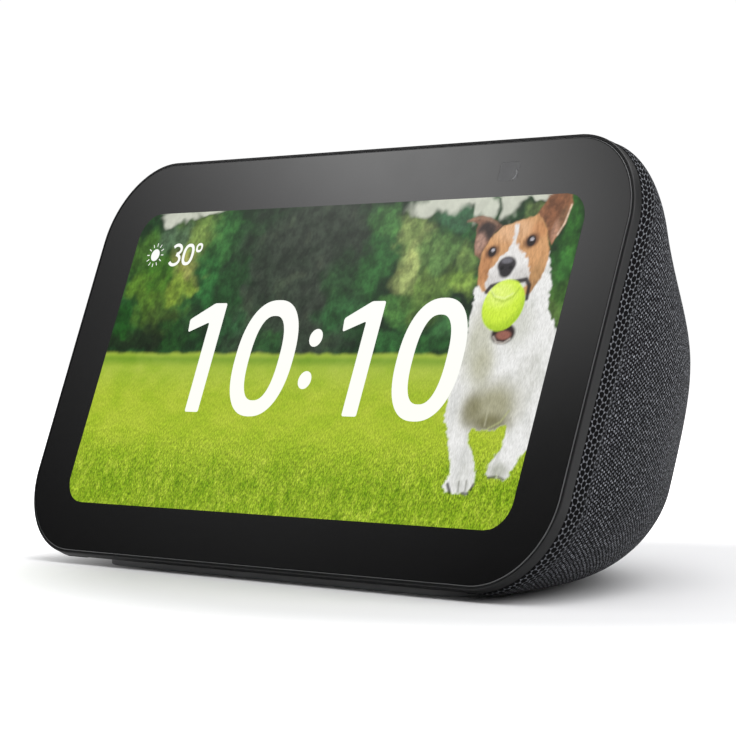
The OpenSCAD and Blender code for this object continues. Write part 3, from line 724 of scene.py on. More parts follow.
def paint_dog(art):
    x, y = art.x, art.y
    fur = value_noise((x + 0.3 * y) * 2.6, y * 0.9, 101)
    fur_light = soft_step(0.55, 0.9, fur)
    fur_dark = soft_step(0.42, 0.1, fur)
    body = [(39.9, 13.7), (40.4, 10.5), (40.6, 6.9), (41, 1.5), (40.9, -3.1), (40.4, -6.3), (40.3, -8.5),
            (40.7, -11.3), (42.1, -13.5), (43.5, -16.7), (45, -19.9), (45.6, -21.4), (44.6, -22.6),
            (44.5, -24), (45.3, -24.7), (47.1, -24.9), (50.7, -24.9), (51.9, -23.5), (51.9, -21.7),
            (51.2, -19.9), (50, -17.9), (48.4, -16.2), (47.5, -14), (48, -13.1), (50.7, -13.3), (53.5, -13.1),
            (56.2, -11.7), (56.6, -15.8), (55.3, -17.9), (54.3, -19.6), (54.3, -21), (55.2, -21.9),
            (57.1, -21.5), (59.4, -22.2), (59.9, -20.4), (60.7, -19), (62, -17), (63.5, -15.5), (63.5, 4.6),
            (61.2, 6.9), (59.8, 8.7), (58.9, 10.5), (58.5, 14.2), (57.1, 17.8), (56.2, 20.1), (46, 18)]
    torso = art.shape(body, 0.3, 0.7, 1.6)
    art.grain(torso, 0, 0, 1)
    art.lay(torso, (234, 234, 232))
    shade = clouds(x / 2.4, y / 3.4, 131)
    art.tint(torso * soft_step(0.5, 0.25, shade) * 0.6, np.array([0.78, 0.79, 0.77]))
    for cx, cy, rx, ry, depth, colour in (
        (51.5, -9, 6.2, 4.6, 0.85, (150, 147, 108)), (52, -12, 4.5, 1.6, 0.8, (112, 108, 70)),
        (44.5, 3.5, 3.4, 7, 0.6, (172, 172, 140)), (53, 6.5, 3.4, 4, 0.5, (182, 184, 168)),
        (47, -1.5, 2.6, 3.4, 0.65, (174, 173, 142)), (46.6, -9.4, 2.2, 2.8, 0.75, (122, 118, 80)),
        (59, -3, 3, 5, 0.25, (190, 190, 178)),
        (49, -21.6, 2.6, 2.4, 0.25, (184, 186, 176)), (57, -20.6, 2.2, 1.5, 0.6, (152, 156, 136)),
        (47, -19, 1.6, 3, 0.35, (196, 198, 194)), (42, -9, 1.4, 4, 0.4, (188, 190, 186)),
    ):
        art.lay(torso * art.blob(cx, cy, rx, ry, 1.3) * depth, colour)
    art.tint(torso * fur_light * 0.35, np.array([1.12, 1.12, 1.12]))
    art.tint(torso * fur_dark * 0.4, np.array([0.82, 0.82, 0.79]))
    for points, width, colour in (
        ([(50.9, -8.5), (51, -12.3)], 0.3, (184, 182, 154)),
        ([(56, -9.5), (54.6, -11.6), (52, -12.9)], 0.3, (176, 180, 128)),
        ([(48.2, -22.8), (48.6, -24.6)], 0.3, (120, 122, 112)),
        ([(50, -22.6), (50.3, -24.4)], 0.3, (130, 130, 120)),
        ([(45.6, -23.4), (46.6, -24.8)], 0.7, (34, 32, 30)), ([(49.6, -24.9), (51, -24.9)], 0.5, (40, 36, 34)),
        ([(51.5, -24.2), (51.9, -23.2)], 0.5, (60, 44, 40)), ([(55, -21.8), (56.6, -21.6)], 0.5, (70, 74, 40)),
        ([(57.4, -21.6), (58.8, -22)], 0.4, (84, 84, 52)),
    ):
        art.lay(art.line(points, width) * 0.85, colour)

    far_ear = [(33.5, 26.7), (34.8, 27.4), (37.1, 27.7), (39.8, 27.1), (41.6, 26.2), (42.8, 25.5),
               (41.2, 24.2), (40, 21.9), (39.2, 19.2), (37.6, 20.1), (36.9, 21.9), (36.5, 24.6), (36.4, 26),
               (35, 26.6)]
    mask = art.shape(far_ear, 0.25, 0.25)
    art.lay(mask, (128, 92, 72))
    art.lay(mask * art.blob(39.2, 24.6, 2.6, 2, 0.8), (60, 46, 42))
    art.lay(mask * art.blob(38.2, 22.4, 1.3, 1.9, 0.9) * 0.9, (168, 132, 116))
    art.lay(art.line([(33.6, 26.7), (35.4, 27.1), (37.2, 27.2), (39.6, 26.7), (41.4, 25.8)], 0.45) * 0.8,
            (150, 118, 96))
    near_ear = [(50.7, 27.5), (52.1, 29.6), (53, 31.6), (58, 31.6), (58.9, 29.2), (58.2, 25.5), (57.1, 23.3),
                (56.2, 21.5), (54.8, 23.3), (53.5, 25.5)]
    mask = art.shape(near_ear, 0.25, 0.25)
    art.lay(mask, (138, 92, 62))
    art.lay(mask * art.blob(54.6, 28.4, 2.4, 3, 0.9) * 0.7, (112, 70, 46))
    art.lay(mask * art.blob(56.2, 24.2, 0.9, 2, 0.9) * 0.7, (184, 140, 116))
    art.lay(mask * art.blob(57.6, 26.6, 1.2, 2.2, 0.9) * 0.5, (104, 84, 62))
    art.lay(art.line([(58.7, 29), (58.1, 25.6), (57, 23.4)], 0.35) * 0.8, (226, 200, 176))

    head = [(43, 25.3), (46.2, 26.2), (48.9, 26.9), (51.2, 27.4), (53.5, 25.5), (55.3, 22.4), (56.4, 18.7),
            (55.7, 15.5), (53.9, 12.4), (50, 10.5), (46.2, 11.5), (42.1, 12.8), (40.3, 14.2), (39.6, 16.9),
            (39.4, 20.5), (40.7, 23.3)]
    mask = art.shape(head, 0.25, 0.4)
    art.grain(mask, 0, 0, 0.8)
    art.lay(mask, (206, 155, 106))
    art.lay(mask * art.blob(46, 24.6, 4.6, 2.3, 1.0) * 0.7, (224, 180, 140))
    art.lay(mask * art.blob(54.6, 15, 2, 3.4, 1.0) * 0.6, (158, 122, 78))
    art.lay(mask * art.blob(41, 17.5, 1.8, 3.6, 1.0) * 0.6, (172, 112, 68))
    art.lay(mask * art.blob(52.6, 24.6, 2.2, 1.6, 1.0) * 0.5, (180, 116, 70))
    art.tint(mask * fur_light * 0.6, np.array([1.25, 1.22, 1.2]))
    art.tint(mask * fur_dark * 0.7, np.array([0.74, 0.68, 0.6]))
    muzzle = [(46, 25.6), (47, 25.4), (47.3, 22.4), (48.5, 20.8), (50.7, 19.6), (52.3, 16.9), (52.9, 14.2),
              (50.7, 13), (46.2, 13), (43, 12.8), (42.1, 14.6), (42.5, 16.9), (43.9, 19.2), (45.7, 20.8),
              (46.5, 22.4)]
    mask = art.shape(muzzle, 0.35, 0.7, 1.6)
    art.lay(mask, (232, 230, 228))
    art.lay(mask * art.blob(50.6, 15.6, 2.2, 1.8, 1.2) * 0.5, (184, 180, 176))
    art.lay(mask * art.blob(44, 15, 2, 1.6, 1.2) * 0.4, (176, 172, 168))
    art.tint(mask * fur_dark * 0.5, np.array([0.8, 0.79, 0.78]))
    for cx, cy, size in ((41.9, 20.5, 1.0), (51.0, 22.4, 1.1)):
        art.lay(art.blob(cx, cy, size * 1.7, size * 1.25, 0.7, 20) * 0.8, (96, 58, 36))
        art.lay(art.blob(cx, cy, size, size, 0.4), (34, 22, 20))
        art.lay(art.blob(cx + 0.1, cy + 0.3, size * 0.45, size * 0.3, 0.7) * 0.8, (200, 196, 204))
    art.lay(art.blob(46.4, 17.9, 2.3, 1.6, 0.35), (50, 46, 50))
    art.lay(art.blob(46.5, 16.9, 1.7, 1.5, 0.5), (40, 37, 40))
    art.lay(art.blob(46.2, 18.7, 1.3, 0.55, 0.8) * 0.7, (124, 122, 130))
    art.lay(art.blob(45.4, 17.3, 0.45, 0.35, 0.6), (12, 10, 12))
    art.lay(art.blob(47.5, 17.4, 0.45, 0.35, 0.6), (12, 10, 12))
    art.lay(art.line([(43, 12.8), (43.8, 13.8), (45.6, 14.2), (49.5, 14.6), (52.2, 15), (53.3, 13.8),
                      (53.4, 11.4)], 0.9) * 0.95, (34, 26, 28))
    art.lay(art.blob(49.8, 4.8, 2.9, 2.0, 0.35), (46, 32, 32))
    art.lay(art.blob(50, 4.5, 1.8, 0.85, 0.6), (150, 96, 82))
    art.lay(art.line([(47.6, 4.2), (48.6, 3.2), (50.4, 3), (51.8, 3.8)], 0.3) * 0.8, (214, 206, 196))
    ball = art.blob(48.05, 10.2, 5.1, 4.9, 0.09)
    fuzz = value_noise(x * 3.2, y * 3.2, 151)
    art.lay(ball, (206, 236, 62))
    art.lay(ball * art.blob(46.6, 12.4, 3.4, 2.2, 1.3) * 0.7, (232, 248, 132))
    art.lay(ball * soft_step(4.2, 6.2, np.hypot(x - 47.3, y - 11.8)) * 0.75, (158, 196, 30))
    art.tint(ball * soft_step(0.5, 0.9, fuzz) * 0.5, np.array([1.15, 1.1, 1.5]))
    art.tint(ball * soft_step(0.4, 0.1, fuzz) * 0.5, np.array([0.86, 0.9, 0.7]))
    art.lay(ball * art.line([(44.4, 12.6), (45.8, 11.3), (48, 10.9), (50, 11.8), (51, 13.4)], 0.34) * 0.8,
            (170, 196, 60))
    art.lay(ball * art.line([(44, 13.2), (45.4, 11.9), (48, 11.5), (49.8, 12.4)], 0.22) * 0.5, (240, 250, 190))
    whisk = value_noise((x - 0.5 * y) * 4.2, (y + 0.3 * x) * 0.5, 171)
    rim = torso * (1 - art.shape(body, 1.6, 0.0))
    art.tint(rim * soft_step(0.5, 0.9, whisk), np.array([1.3, 1.3, 1.3]))


# ---- Pieces ----

def flat_zero(name, x, half_wide, half_high, hole_wide, hole_high, y=0.0):
    """The figure 0 as a flat ring."""
    count = 72
    piece = start(name, bpy.ops.mesh.primitive_circle_add, vertices=count, radius=1, fill_type="NGON")
    bpy.ops.object.mode_set(mode="EDIT")
    bpy.ops.mesh.select_all(action="SELECT")
    bpy.ops.mesh.inset(thickness=0.2, depth=0)
    bpy.ops.mesh.delete(type="FACE")
    bpy.ops.object.mode_set(mode="OBJECT")
    for vertex in piece.data.vertices:
        turn = math.atan2(vertex.co.y, vertex.co.x)
        outer = vertex.co.length > 0.9
        wide, high, power = (half_wide, half_high, 2.35) if outer else (hole_wide, hole_high, 2.5)
        c, s = math.cos(turn), math.sin(turn)
        vertex.co = (x + wide * math.copysign(abs(c) ** (2 / power), c),
                     y + high * math.copysign(abs(s) ** (2 / power), s), 0)
    return piece


def flat_shape(name, points, corner=0.0):
    """A flat face through the points, its corners rounded."""
    piece = start(name, bpy.ops.mesh.primitive_circle_add, vertices=len(points), radius=1, fill_type="NGON")
    for vertex, point in zip(piece.data.vertices, points):
        vertex.co = (point[0], point[1], 0)
    if corner:
        bpy.ops.object.mode_set(mode="EDIT")
        bpy.ops.mesh.select_all(action="SELECT")
        bpy.ops.mesh.bevel(offset=corner, segments=4, affect="VERTICES", profile=0.5)
        bpy.ops.object.mode_set(mode="OBJECT")
    return piece


def flat_stroke(name, points, width):
    """A flat band of even width along the points."""
    piece = start(name, bpy.ops.mesh.primitive_grid_add, x_subdivisions=len(points) - 1, y_subdivisions=1, size=1)
    path = [Vector((*p, 0)) for p in points]
    order = sorted(piece.data.vertices, key=lambda v: (round(v.co.x, 4), v.co.y))
    places = []
    for k, point in enumerate(path):
        way = (path[min(k + 1, len(path) - 1)] - path[max(k - 1, 0)]).normalized()
        side = Vector((-way.y, way.x, 0)) * width / 2
        places += [point - side, point + side]
    for vertex, place in zip(order, places):
        vertex.co = place
    return piece


def arc(x, y, radius_x, radius_y, begin, end, count=14):
    return [(x + radius_x * math.cos(math.radians(begin + (end - begin) * k / count)),
             y + radius_y * math.sin(math.radians(begin + (end - begin) * k / count))) for k in range(count + 1)]


def window_block(name, grow, low, high):
    """The rounded camera window as a prism between two heights."""
    wide, tall = (size + 2 * grow for size in WINDOW_SIZE)
    return rounded_slab(name, wide, tall, WINDOW_R + grow, [(0, low), (0, high)], 8, WINDOW)


def build_glass():
    steps = [(0, -GLASS_T), (0, -0.18), (0.02, -0.1), (0.16, 0.0), (0.32, 0.0), (0.6, 0.0)]
    piece = rounded_slab("front_glass", FACE_W - 2 * LIP, RING_H - 2 * LIP, CORNER_R - LIP, steps, 28)
    cut_with(piece, window_block("cutter", 0.0, -3, 3))
    settle(piece, FACE)
    smooth_by_angle(piece, 50)
    finish_piece(piece, glass_finish(), "speaker", "black_glass", "cover_glass")
    # Painted highlight: the rounded edge faces take a light grey that stands in for the thin highlight along the
    # glass's edge.
    edge = plain_finish("Glass edge painted highlight", (0.09, 0.091, 0.093), (0.12, 0.121, 0.123), 0.45, 0.1, 5200)
    piece.data.materials.append(edge)
    front = FACE.to_3x3() @ Vector((0, 0, 1))
    for face in piece.data.polygons:
        slope = face.normal.dot(front)
        if 0.2 < slope < 0.95:
            face.material_index = 1


def build_window():
    piece = window_block("camera_window", -0.02, -GLASS_T, -0.012)
    settle(piece, FACE)
    material, tree, shader = new_finish("Clear window")
    place = tree.nodes.new("ShaderNodeTexCoord").outputs["Object"]
    haze = noise(tree, place, 300.0, 3.0)
    tree.links.new(blend_colours(tree, haze, (0.03, 0.031, 0.033), (0.04, 0.041, 0.044)),
                   shader.inputs["Base Color"])
    tree.links.new(ramp_between(tree, haze, 0.3, 0.7, 0.1, 0.16), shader.inputs["Roughness"])
    shader.inputs["Alpha"].default_value = 0.85
    finish_piece(piece, material, "speaker", "lens_glass")
    # Painted glint: a light grey arc on the window stands in for the highlight on the lens's rim.
    glint = flat_stroke("lens_painted_glint", arc(WINDOW[0] + 0.7, WINDOW[1] - 0.5, 1.35, 1.25, -62, 38), 0.26)
    raise_in_steps(glint, [(0, 0), (0, 0.02)])
    settle(glint, FACE @ Matrix.Translation((0, 0, -0.014)))
    glint_grey = plain_finish("Painted lens glint", (0.16, 0.16, 0.165), (0.22, 0.22, 0.225), 0.3, 0.1)
    finish_piece(glint, glint_grey, "speaker", "lens_glass")


def build_picture():
    cols, rows, split = 380, 250, 0.62
    piece = start("display_picture", bpy.ops.mesh.primitive_grid_add, x_subdivisions=cols, y_subdivisions=rows,
                  size=1)
    mesh = piece.data
    places = np.zeros(len(mesh.vertices) * 3)
    mesh.vertices.foreach_get("co", places)
    places = places.reshape(-1, 3)
    share = places[:, 0] + 0.5
    half, fine_from = SCREEN_W / 2, 31.5
    coarse = share / split * (half + fine_from) - half
    fine = fine_from + (share - split) / (1 - split) * (half - fine_from)
    places[:, 0] = np.where(share < split, coarse, fine)
    places[:, 1] *= SCREEN_H
    corner = np.maximum(np.abs(places[:, 1]) - SCREEN_H / 2 + SCREEN_R, 0)
    reach = SCREEN_W / 2 - SCREEN_R + np.sqrt(np.maximum(SCREEN_R ** 2 - corner ** 2, 0))
    places[:, 0] *= reach / (SCREEN_W / 2)
    art = Picture(places[:, 0], places[:, 1])
    paint_trees(art)
    paint_grass(art)
    paint_dog(art)
    ones = np.ones((len(places), 1))
    for name, colours in (("picture", np.clip(art.light, 0, 1.2)), ("shares", art.shares)):
        layer = mesh.color_attributes.new(name, "FLOAT_COLOR", "POINT")
        layer.data.foreach_set("color", np.concatenate([colours, ones], 1).astype(np.float32).ravel())
    corners = np.zeros(len(mesh.loops), int)
    mesh.loops.foreach_get("vertex_index", corners)
    mesh.uv_layers.remove(mesh.uv_layers[0])
    layer = mesh.uv_layers.new(name="sheet")
    layer.data.foreach_set("uv", places[corners, :2].astype(np.float32).ravel())
    places += (SCREEN_X, SCREEN_V, 0.012)
    mesh.vertices.foreach_set("co", places.ravel())
    mesh.update()
    settle(piece, FACE)
    bpy.ops.object.shade_smooth()
    finish_piece(piece, lit_finish("Lit picture", "picture", 1.0, True), "speaker", "lcd", "lcd_panel")


def build_clock():
    parts = []
    for shift in (0, 45.6):
        one = [(-32.1, -11.45), (-28.1, -11.45), (-28.1, 11.3), (-31.7, 11.3), (-38.3, 7.9), (-37.9, 5.2),
               (-32.1, 7.3)]
        parts.append(flat_shape("one", [(x + shift, y) for x, y in one], 0.45))
        parts.append(flat_zero("zero", -12.7 + shift, 8.5, 11.9, 4.35, 8.65, -0.13))
    for y in (4.0, -4.5):
        parts.append(flat_shape("dot", arc(0.72, y, 1.8, 1.8, 0, 351, 39)))
    three = arc(-48.75, 23.15, 1.35, 1.0, 150, -80) + arc(-48.85, 20.95, 1.55, 1.12, 80, -155)
    parts.append(flat_stroke("three", three, 0.68))
    parts.append(flat_zero("small_zero", -44.85, 1.75, 2.35, 0.98, 1.68, 22.0))
    parts.append(flat_zero("degree", -41.8, 1.0, 1.0, 0.5, 0.5, 23.4))
    parts.append(flat_shape("sun", arc(-55.5, 22.1, 1.3, 1.3, 0, 350, 35)))
    for k in range(12):
        c, s = math.cos(math.radians(30 * k)), math.sin(math.radians(30 * k))
        parts.append(flat_stroke("ray", [(-55.5 + r * c, 22.1 + r * s) for r in (1.85, 2.6)], 0.2))
    piece = join(parts)
    piece.name = piece.data.name = "clock_and_weather"
    bpy.ops.object.mode_set(mode="EDIT")
    bpy.ops.mesh.select_all(action="SELECT")
    bpy.ops.mesh.extrude_region_move(TRANSFORM_OT_translate={"value": (0, 0, 0.012)})
    tidy_normals()
    bpy.ops.object.mode_set(mode="OBJECT")
    layer = piece.data.color_attributes.new("marks", "FLOAT_COLOR", "POINT")
    high = np.array([v.co.y for v in piece.data.vertices])
    warm = soft_step(30, -15, high)[:, None]
    colours = np.array([[0.97, 0.985, 0.96]]) * (1 - warm) + np.array([[0.99, 1.0, 0.93]]) * warm
    colours = np.concatenate([colours, np.ones((len(high), 1))], 1)
    layer.data.foreach_set("color", colours.astype(np.float32).ravel())
    piece.data.transform(Matrix.Translation((SCREEN_X, SCREEN_V, 0.014)))
    settle(piece, FACE)
    finish_piece(piece, lit_finish("Lit marks", "marks", 1.0), "speaker", "lcd")


def build_bezel():
    steps = [(0, -0.4), (0.03, -0.24), (0.09, -0.13), (0.17, -0.07), (0.27, -0.05), (0.44, -0.05), (0.52, -0.1),
             (0.56, -0.22), (0.57, -1.3)]
    widest = rounded_slab("bezel_ring", FACE_W - 1.9, RING_H - 1.9, CORNER_R - 0.95,
                          [(0, -BEZEL_DEPTH + 0.05), (0, -KNIT_FRONT - 0.05)], 28)
    front = rounded_slab("bezel_front", FACE_W, RING_H, CORNER_R, [(0, -KNIT_FRONT - 0.1)] + steps, 28)
    for piece in (widest, front):
        cut_box(piece, (-FACE_W, -60, -20), (FACE_W, 60, BASE_Z), FACE.inverted())
    piece = join([widest, front])
    settle(piece, FACE)
    smooth_by_angle(piece, 30)
    finish_piece(piece, bezel_finish(), "speaker", "bezel_plastic", "front_frame")


def build_knit():
    look = bpy.context.scene.speaker_look
    cols, rows = 176, 112
    turn = np.pi * np.arange(cols + 1) / cols
    heights = (BASE_Z + RIDGE_Z) / 2 - (RIDGE_Z - BASE_Z) / 2 * np.cos(np.pi * np.arange(rows + 1) / rows)
    lines = [cut_line(z, turn) for z in heights]
    begin = plane_y(BASE_Z)
    foot = np.stack([54.2 * np.sign(np.cos(turn)) * np.abs(np.cos(turn)) ** (2 / PLAN_POWER),
                     np.maximum(begin + 62.2 * np.abs(np.sin(turn)) ** (2 / PLAN_POWER), begin + RIM_RUN),
                     np.full(cols + 1, BASE_Z)], -1)
    under = [foot * (1 - t) + lines[0] * t for t in (0, 0.25, 0.5, 0.75)]
    top = lines[-1]
    front = np.stack([top[:, 0], np.full(cols + 1, plane_y(RIDGE_Z) + RIM_RUN), top[:, 2]], -1)
    over = [top * (1 - t) + front * t for t in (0.2, 0.4, 0.6, 0.8, 1.0)]
    sheet = np.array(under + lines + over)
    forward = (BEZEL_DEPTH - KNIT_FRONT) * np.array([0, -math.cos(LEAN), math.sin(LEAN)])
    sheet = np.concatenate([sheet[:, :1] + forward, sheet, sheet[:, -1:] + forward], 1)
    sheet = np.concatenate([sheet, sheet[-1:] + forward], 0)
    cols += 2
    piece = start("knit_cover", bpy.ops.mesh.primitive_grid_add, x_subdivisions=cols,
                  y_subdivisions=len(sheet) - 1, size=1)
    mesh = piece.data
    flat = np.zeros(len(mesh.vertices) * 3)
    mesh.vertices.foreach_get("co", flat)
    flat = flat.reshape(-1, 3)
    col = np.rint((flat[:, 0] + 0.5) * cols).astype(int)
    row = np.rint((flat[:, 1] + 0.5) * (len(sheet) - 1)).astype(int)
    mesh.vertices.foreach_set("co", sheet[row, col].ravel())
    mesh.update()
    along = np.concatenate([np.zeros((len(sheet), 1)),
                            np.cumsum(np.linalg.norm(np.diff(sheet, axis=1), axis=2), 1)], 1)
    along = np.minimum(along, along[:, -1:] - along)
    climb = np.concatenate([np.zeros((1, cols + 1)),
                            np.cumsum(np.linalg.norm(np.diff(sheet, axis=0), axis=2), 0)], 0)
    climb -= climb[len(under) + rows // 2]
    corners = np.zeros(len(mesh.loops), int)
    mesh.loops.foreach_get("vertex_index", corners)
    threads = np.stack([along[row, col], climb[row, col]], -1)[corners]
    mesh.uv_layers.remove(mesh.uv_layers[0])
    layer = mesh.uv_layers.new(name="knit")
    layer.data.foreach_set("uv", threads.astype(np.float32).ravel())
    only(piece)
    bpy.ops.object.mode_set(mode="EDIT")
    tidy_normals()
    bpy.ops.object.mode_set(mode="OBJECT")
    centre = sum((face.normal.y * face.area for face in mesh.polygons if face.center.y > 20), 0.0)
    if centre < 0:
        mesh.flip_normals()
    thick = piece.modifiers.new("Thickness", "SOLIDIFY")
    thick.thickness = KNIT_T
    thick.offset = -1
    bpy.ops.object.modifier_apply(modifier="Thickness")
    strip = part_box("control_strip")
    cut_box(piece, (strip[0].x / MM - 0.1, strip[0].y / MM - 0.1, RIDGE_Z - 6),
            (strip[1].x / MM + 0.1, strip[1].y / MM + 0.1, RIDGE_Z + 4))
    plate = rounded_slab("cutter", 15.1, 12.1, 3.05, [(0, -80), (0, -60)], 8, (0, INLET_V))
    plate.matrix_world = FACE @ plate.matrix_world
    cut_with(piece, plate)
    settle(piece)
    smooth_by_angle(piece, 50)
    finish_piece(piece, knit_finish(look), "speaker", "knit", "fabric_cover")


def middle_of(node):
    low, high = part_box(node)
    return (low + high) / 2 / MM


def build_strip():
    low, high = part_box("control_strip")
    wide, deep = (high.x - low.x) / MM, (high.y - low.y) / MM
    centre = middle_of("control_strip")
    top = RIDGE_Z
    steps = [(0, top - 1.6), (0, top - 0.3), (0.06, top - 0.12), (0.2, top - 0.02), (0.35, top), (0.5, top)]
    piece = rounded_slab("control_strip_top", wide, deep, 0.8, steps, 8, centre[:2])
    for name in ("volume_up_button", "volume_down_button", "mic_button"):
        cut_round(piece, middle_of(name), 2.45, top - 3, top + 1)
        cut_round(piece, middle_of(name), 2.4, top - 0.3, top + 0.02, 2.75)
    for x in MIC_HOLES:
        cut_round(piece, (x, centre.y), 0.5, top - 3, top + 1)
        cut_round(piece, (x, centre.y), 0.48, top - 0.25, top + 0.02, 0.8)
    knob = middle_of("shutter_knob")
    cut_box(piece, (knob.x - 1.3, knob.y - 0.8, top - 3), (knob.x + 5.1, knob.y + 0.8, top + 1))
    settle(piece)
    smooth_by_angle(piece, 40)
    finish_piece(piece, bezel_finish(), "speaker", "bezel_plastic", "control_strip")


def raised_marks(strokes, discs, low, high):
    """Rounded strokes and rings standing between two heights."""
    parts = [flat_stroke("stroke", path, width) for path, width in strokes]
    parts += [flat_shape("disc", path) for path in discs]
    for part in parts:
        part.location.z = low
        raise_in_steps(part, [(0, 0), (0, high - low - 0.03), (0.04, high - low)])
    return parts


def build_buttons():
    plus = [([(-1.05, 0), (1.05, 0)], 0.28), ([(0, -1.05), (0, 1.05)], 0.28)]
    minus = [([(-1.05, 0), (1.05, 0)], 0.28)]
    mic = [(arc(0, 0.15, 0.85, 0.95, 200, 340), 0.2), ([(0, -0.8), (0, -1.2)], 0.2),
           ([(-0.45, -1.25), (0.45, -1.25)], 0.2)]
    capsule = arc(0, 0.75, 0.42, 0.42, 0, 180) + arc(0, 0.05, 0.42, 0.42, 180, 360)
    for node, body, strokes, discs in (
        ("volume_up_button", "volume_up", plus, []), ("volume_down_button", "volume_down", minus, []),
        ("mic_button", "mic_key", mic, [capsule]),
    ):
        top = RIDGE_Z + 0.4
        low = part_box(node)[0].z / MM
        steps = [(0, low + 0.5), (0, top - 0.22), (0.06, top - 0.08), (0.2, top), (0.5, top - 0.02),
                 (0.95, top - 0.1), (1.6, top - 0.15)]
        flange = round_slab("flange", 2.7, [(0, low), (0, low + 0.55)])
        cap = round_slab(node + "_cap", 2.3, steps)
        piece = join([cap, flange] + raised_marks(strokes, discs, top - 0.3, top + 0.02))
        piece.data.transform(Matrix.Translation((middle_of(node).x, middle_of(node).y, 0)))
        settle(piece)
        smooth_by_angle(piece, 30)
        finish_piece(piece, satin_button(), body, "button_plastic", node)


def build_knob():
    centre = middle_of("shutter_knob")
    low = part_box("shutter_knob")[0].z / MM
    steps = [(0, low), (0, low + 0.4), (0.08, low + 0.56), (0.22, low + 0.64), (0.4, low + 0.66)]
    parts = [rounded_slab("shutter_slider", 5.2, 2.6, 1.2, steps, 10)]
    for x in (-1.5, -0.9, -0.3, 0.3, 0.9, 1.5):
        bar = [(0, low + 0.5), (0, low + 0.82), (0.06, low + 0.9)]
        parts.append(rounded_slab("grip", 0.26, 1.7, 0.12, bar, 4, (x, 0)))
    piece = join(parts)
    piece.data.transform(Matrix.Translation((centre.x, centre.y, 0)))
    settle(piece)
    smooth_by_angle(piece, 30)
    finish_piece(piece, satin_button(), "shutter", "button_plastic", "shutter_knob")


def build_foot():
    begin = plane_y(BASE_Z)
    turn = np.pi * np.arange(73) / 72
    x = 54 * np.sign(np.cos(turn)) * np.abs(np.cos(turn)) ** (2 / PLAN_POWER)
    y = begin + 62 * np.abs(np.sin(turn)) ** (2 / PLAN_POWER)
    half, corner, flank = 53.5, 11, 15
    outline = [(min(max(a, -half), half), b) for a, b in zip(x, y) if b > begin + flank + 0.5]
    outline += arc(corner - half, begin + flank, corner, corner, 180, 270)
    outline += arc(half - corner, begin + flank, corner, corner, 270, 360)
    piece = flat_shape("rubber_foot_pad", outline)
    raise_in_steps(piece, [(0, 0), (0, 1.9)])
    only(piece)
    edge = piece.modifiers.new("Edge", "BEVEL")
    edge.width = 0.22
    edge.segments = 3
    bpy.ops.object.modifier_apply(modifier="Edge")
    settle(piece)
    smooth_by_angle(piece, 30)
    finish_piece(piece, grey_rubber(), "speaker", "foot_rubber", "rubber_foot")


def build_inlet():
    back = -INLET_DEPTH
    steps = [(0, back + 4), (0, back + 0.3), (0.08, back + 0.1), (0.26, back)]
    piece = rounded_slab("inlet_surround", 15, 12, 3, steps, 12, (0, INLET_V))
    cut_round(piece, (0, INLET_V), 4.75, back - 1, back + 2.5)
    cut_round(piece, (0, INLET_V), 5.1, back - 0.02, back + 0.4, 4.7)
    cut_box(piece, (-4.6, INLET_V - 4.6, back + 2.4), (4.6, INLET_V + 4.6, back + 5))
    settle(piece, FACE)
    smooth_by_angle(piece, 30)
    finish_piece(piece, black_moulding(), "speaker", "black_plastic", "inlet_plate")


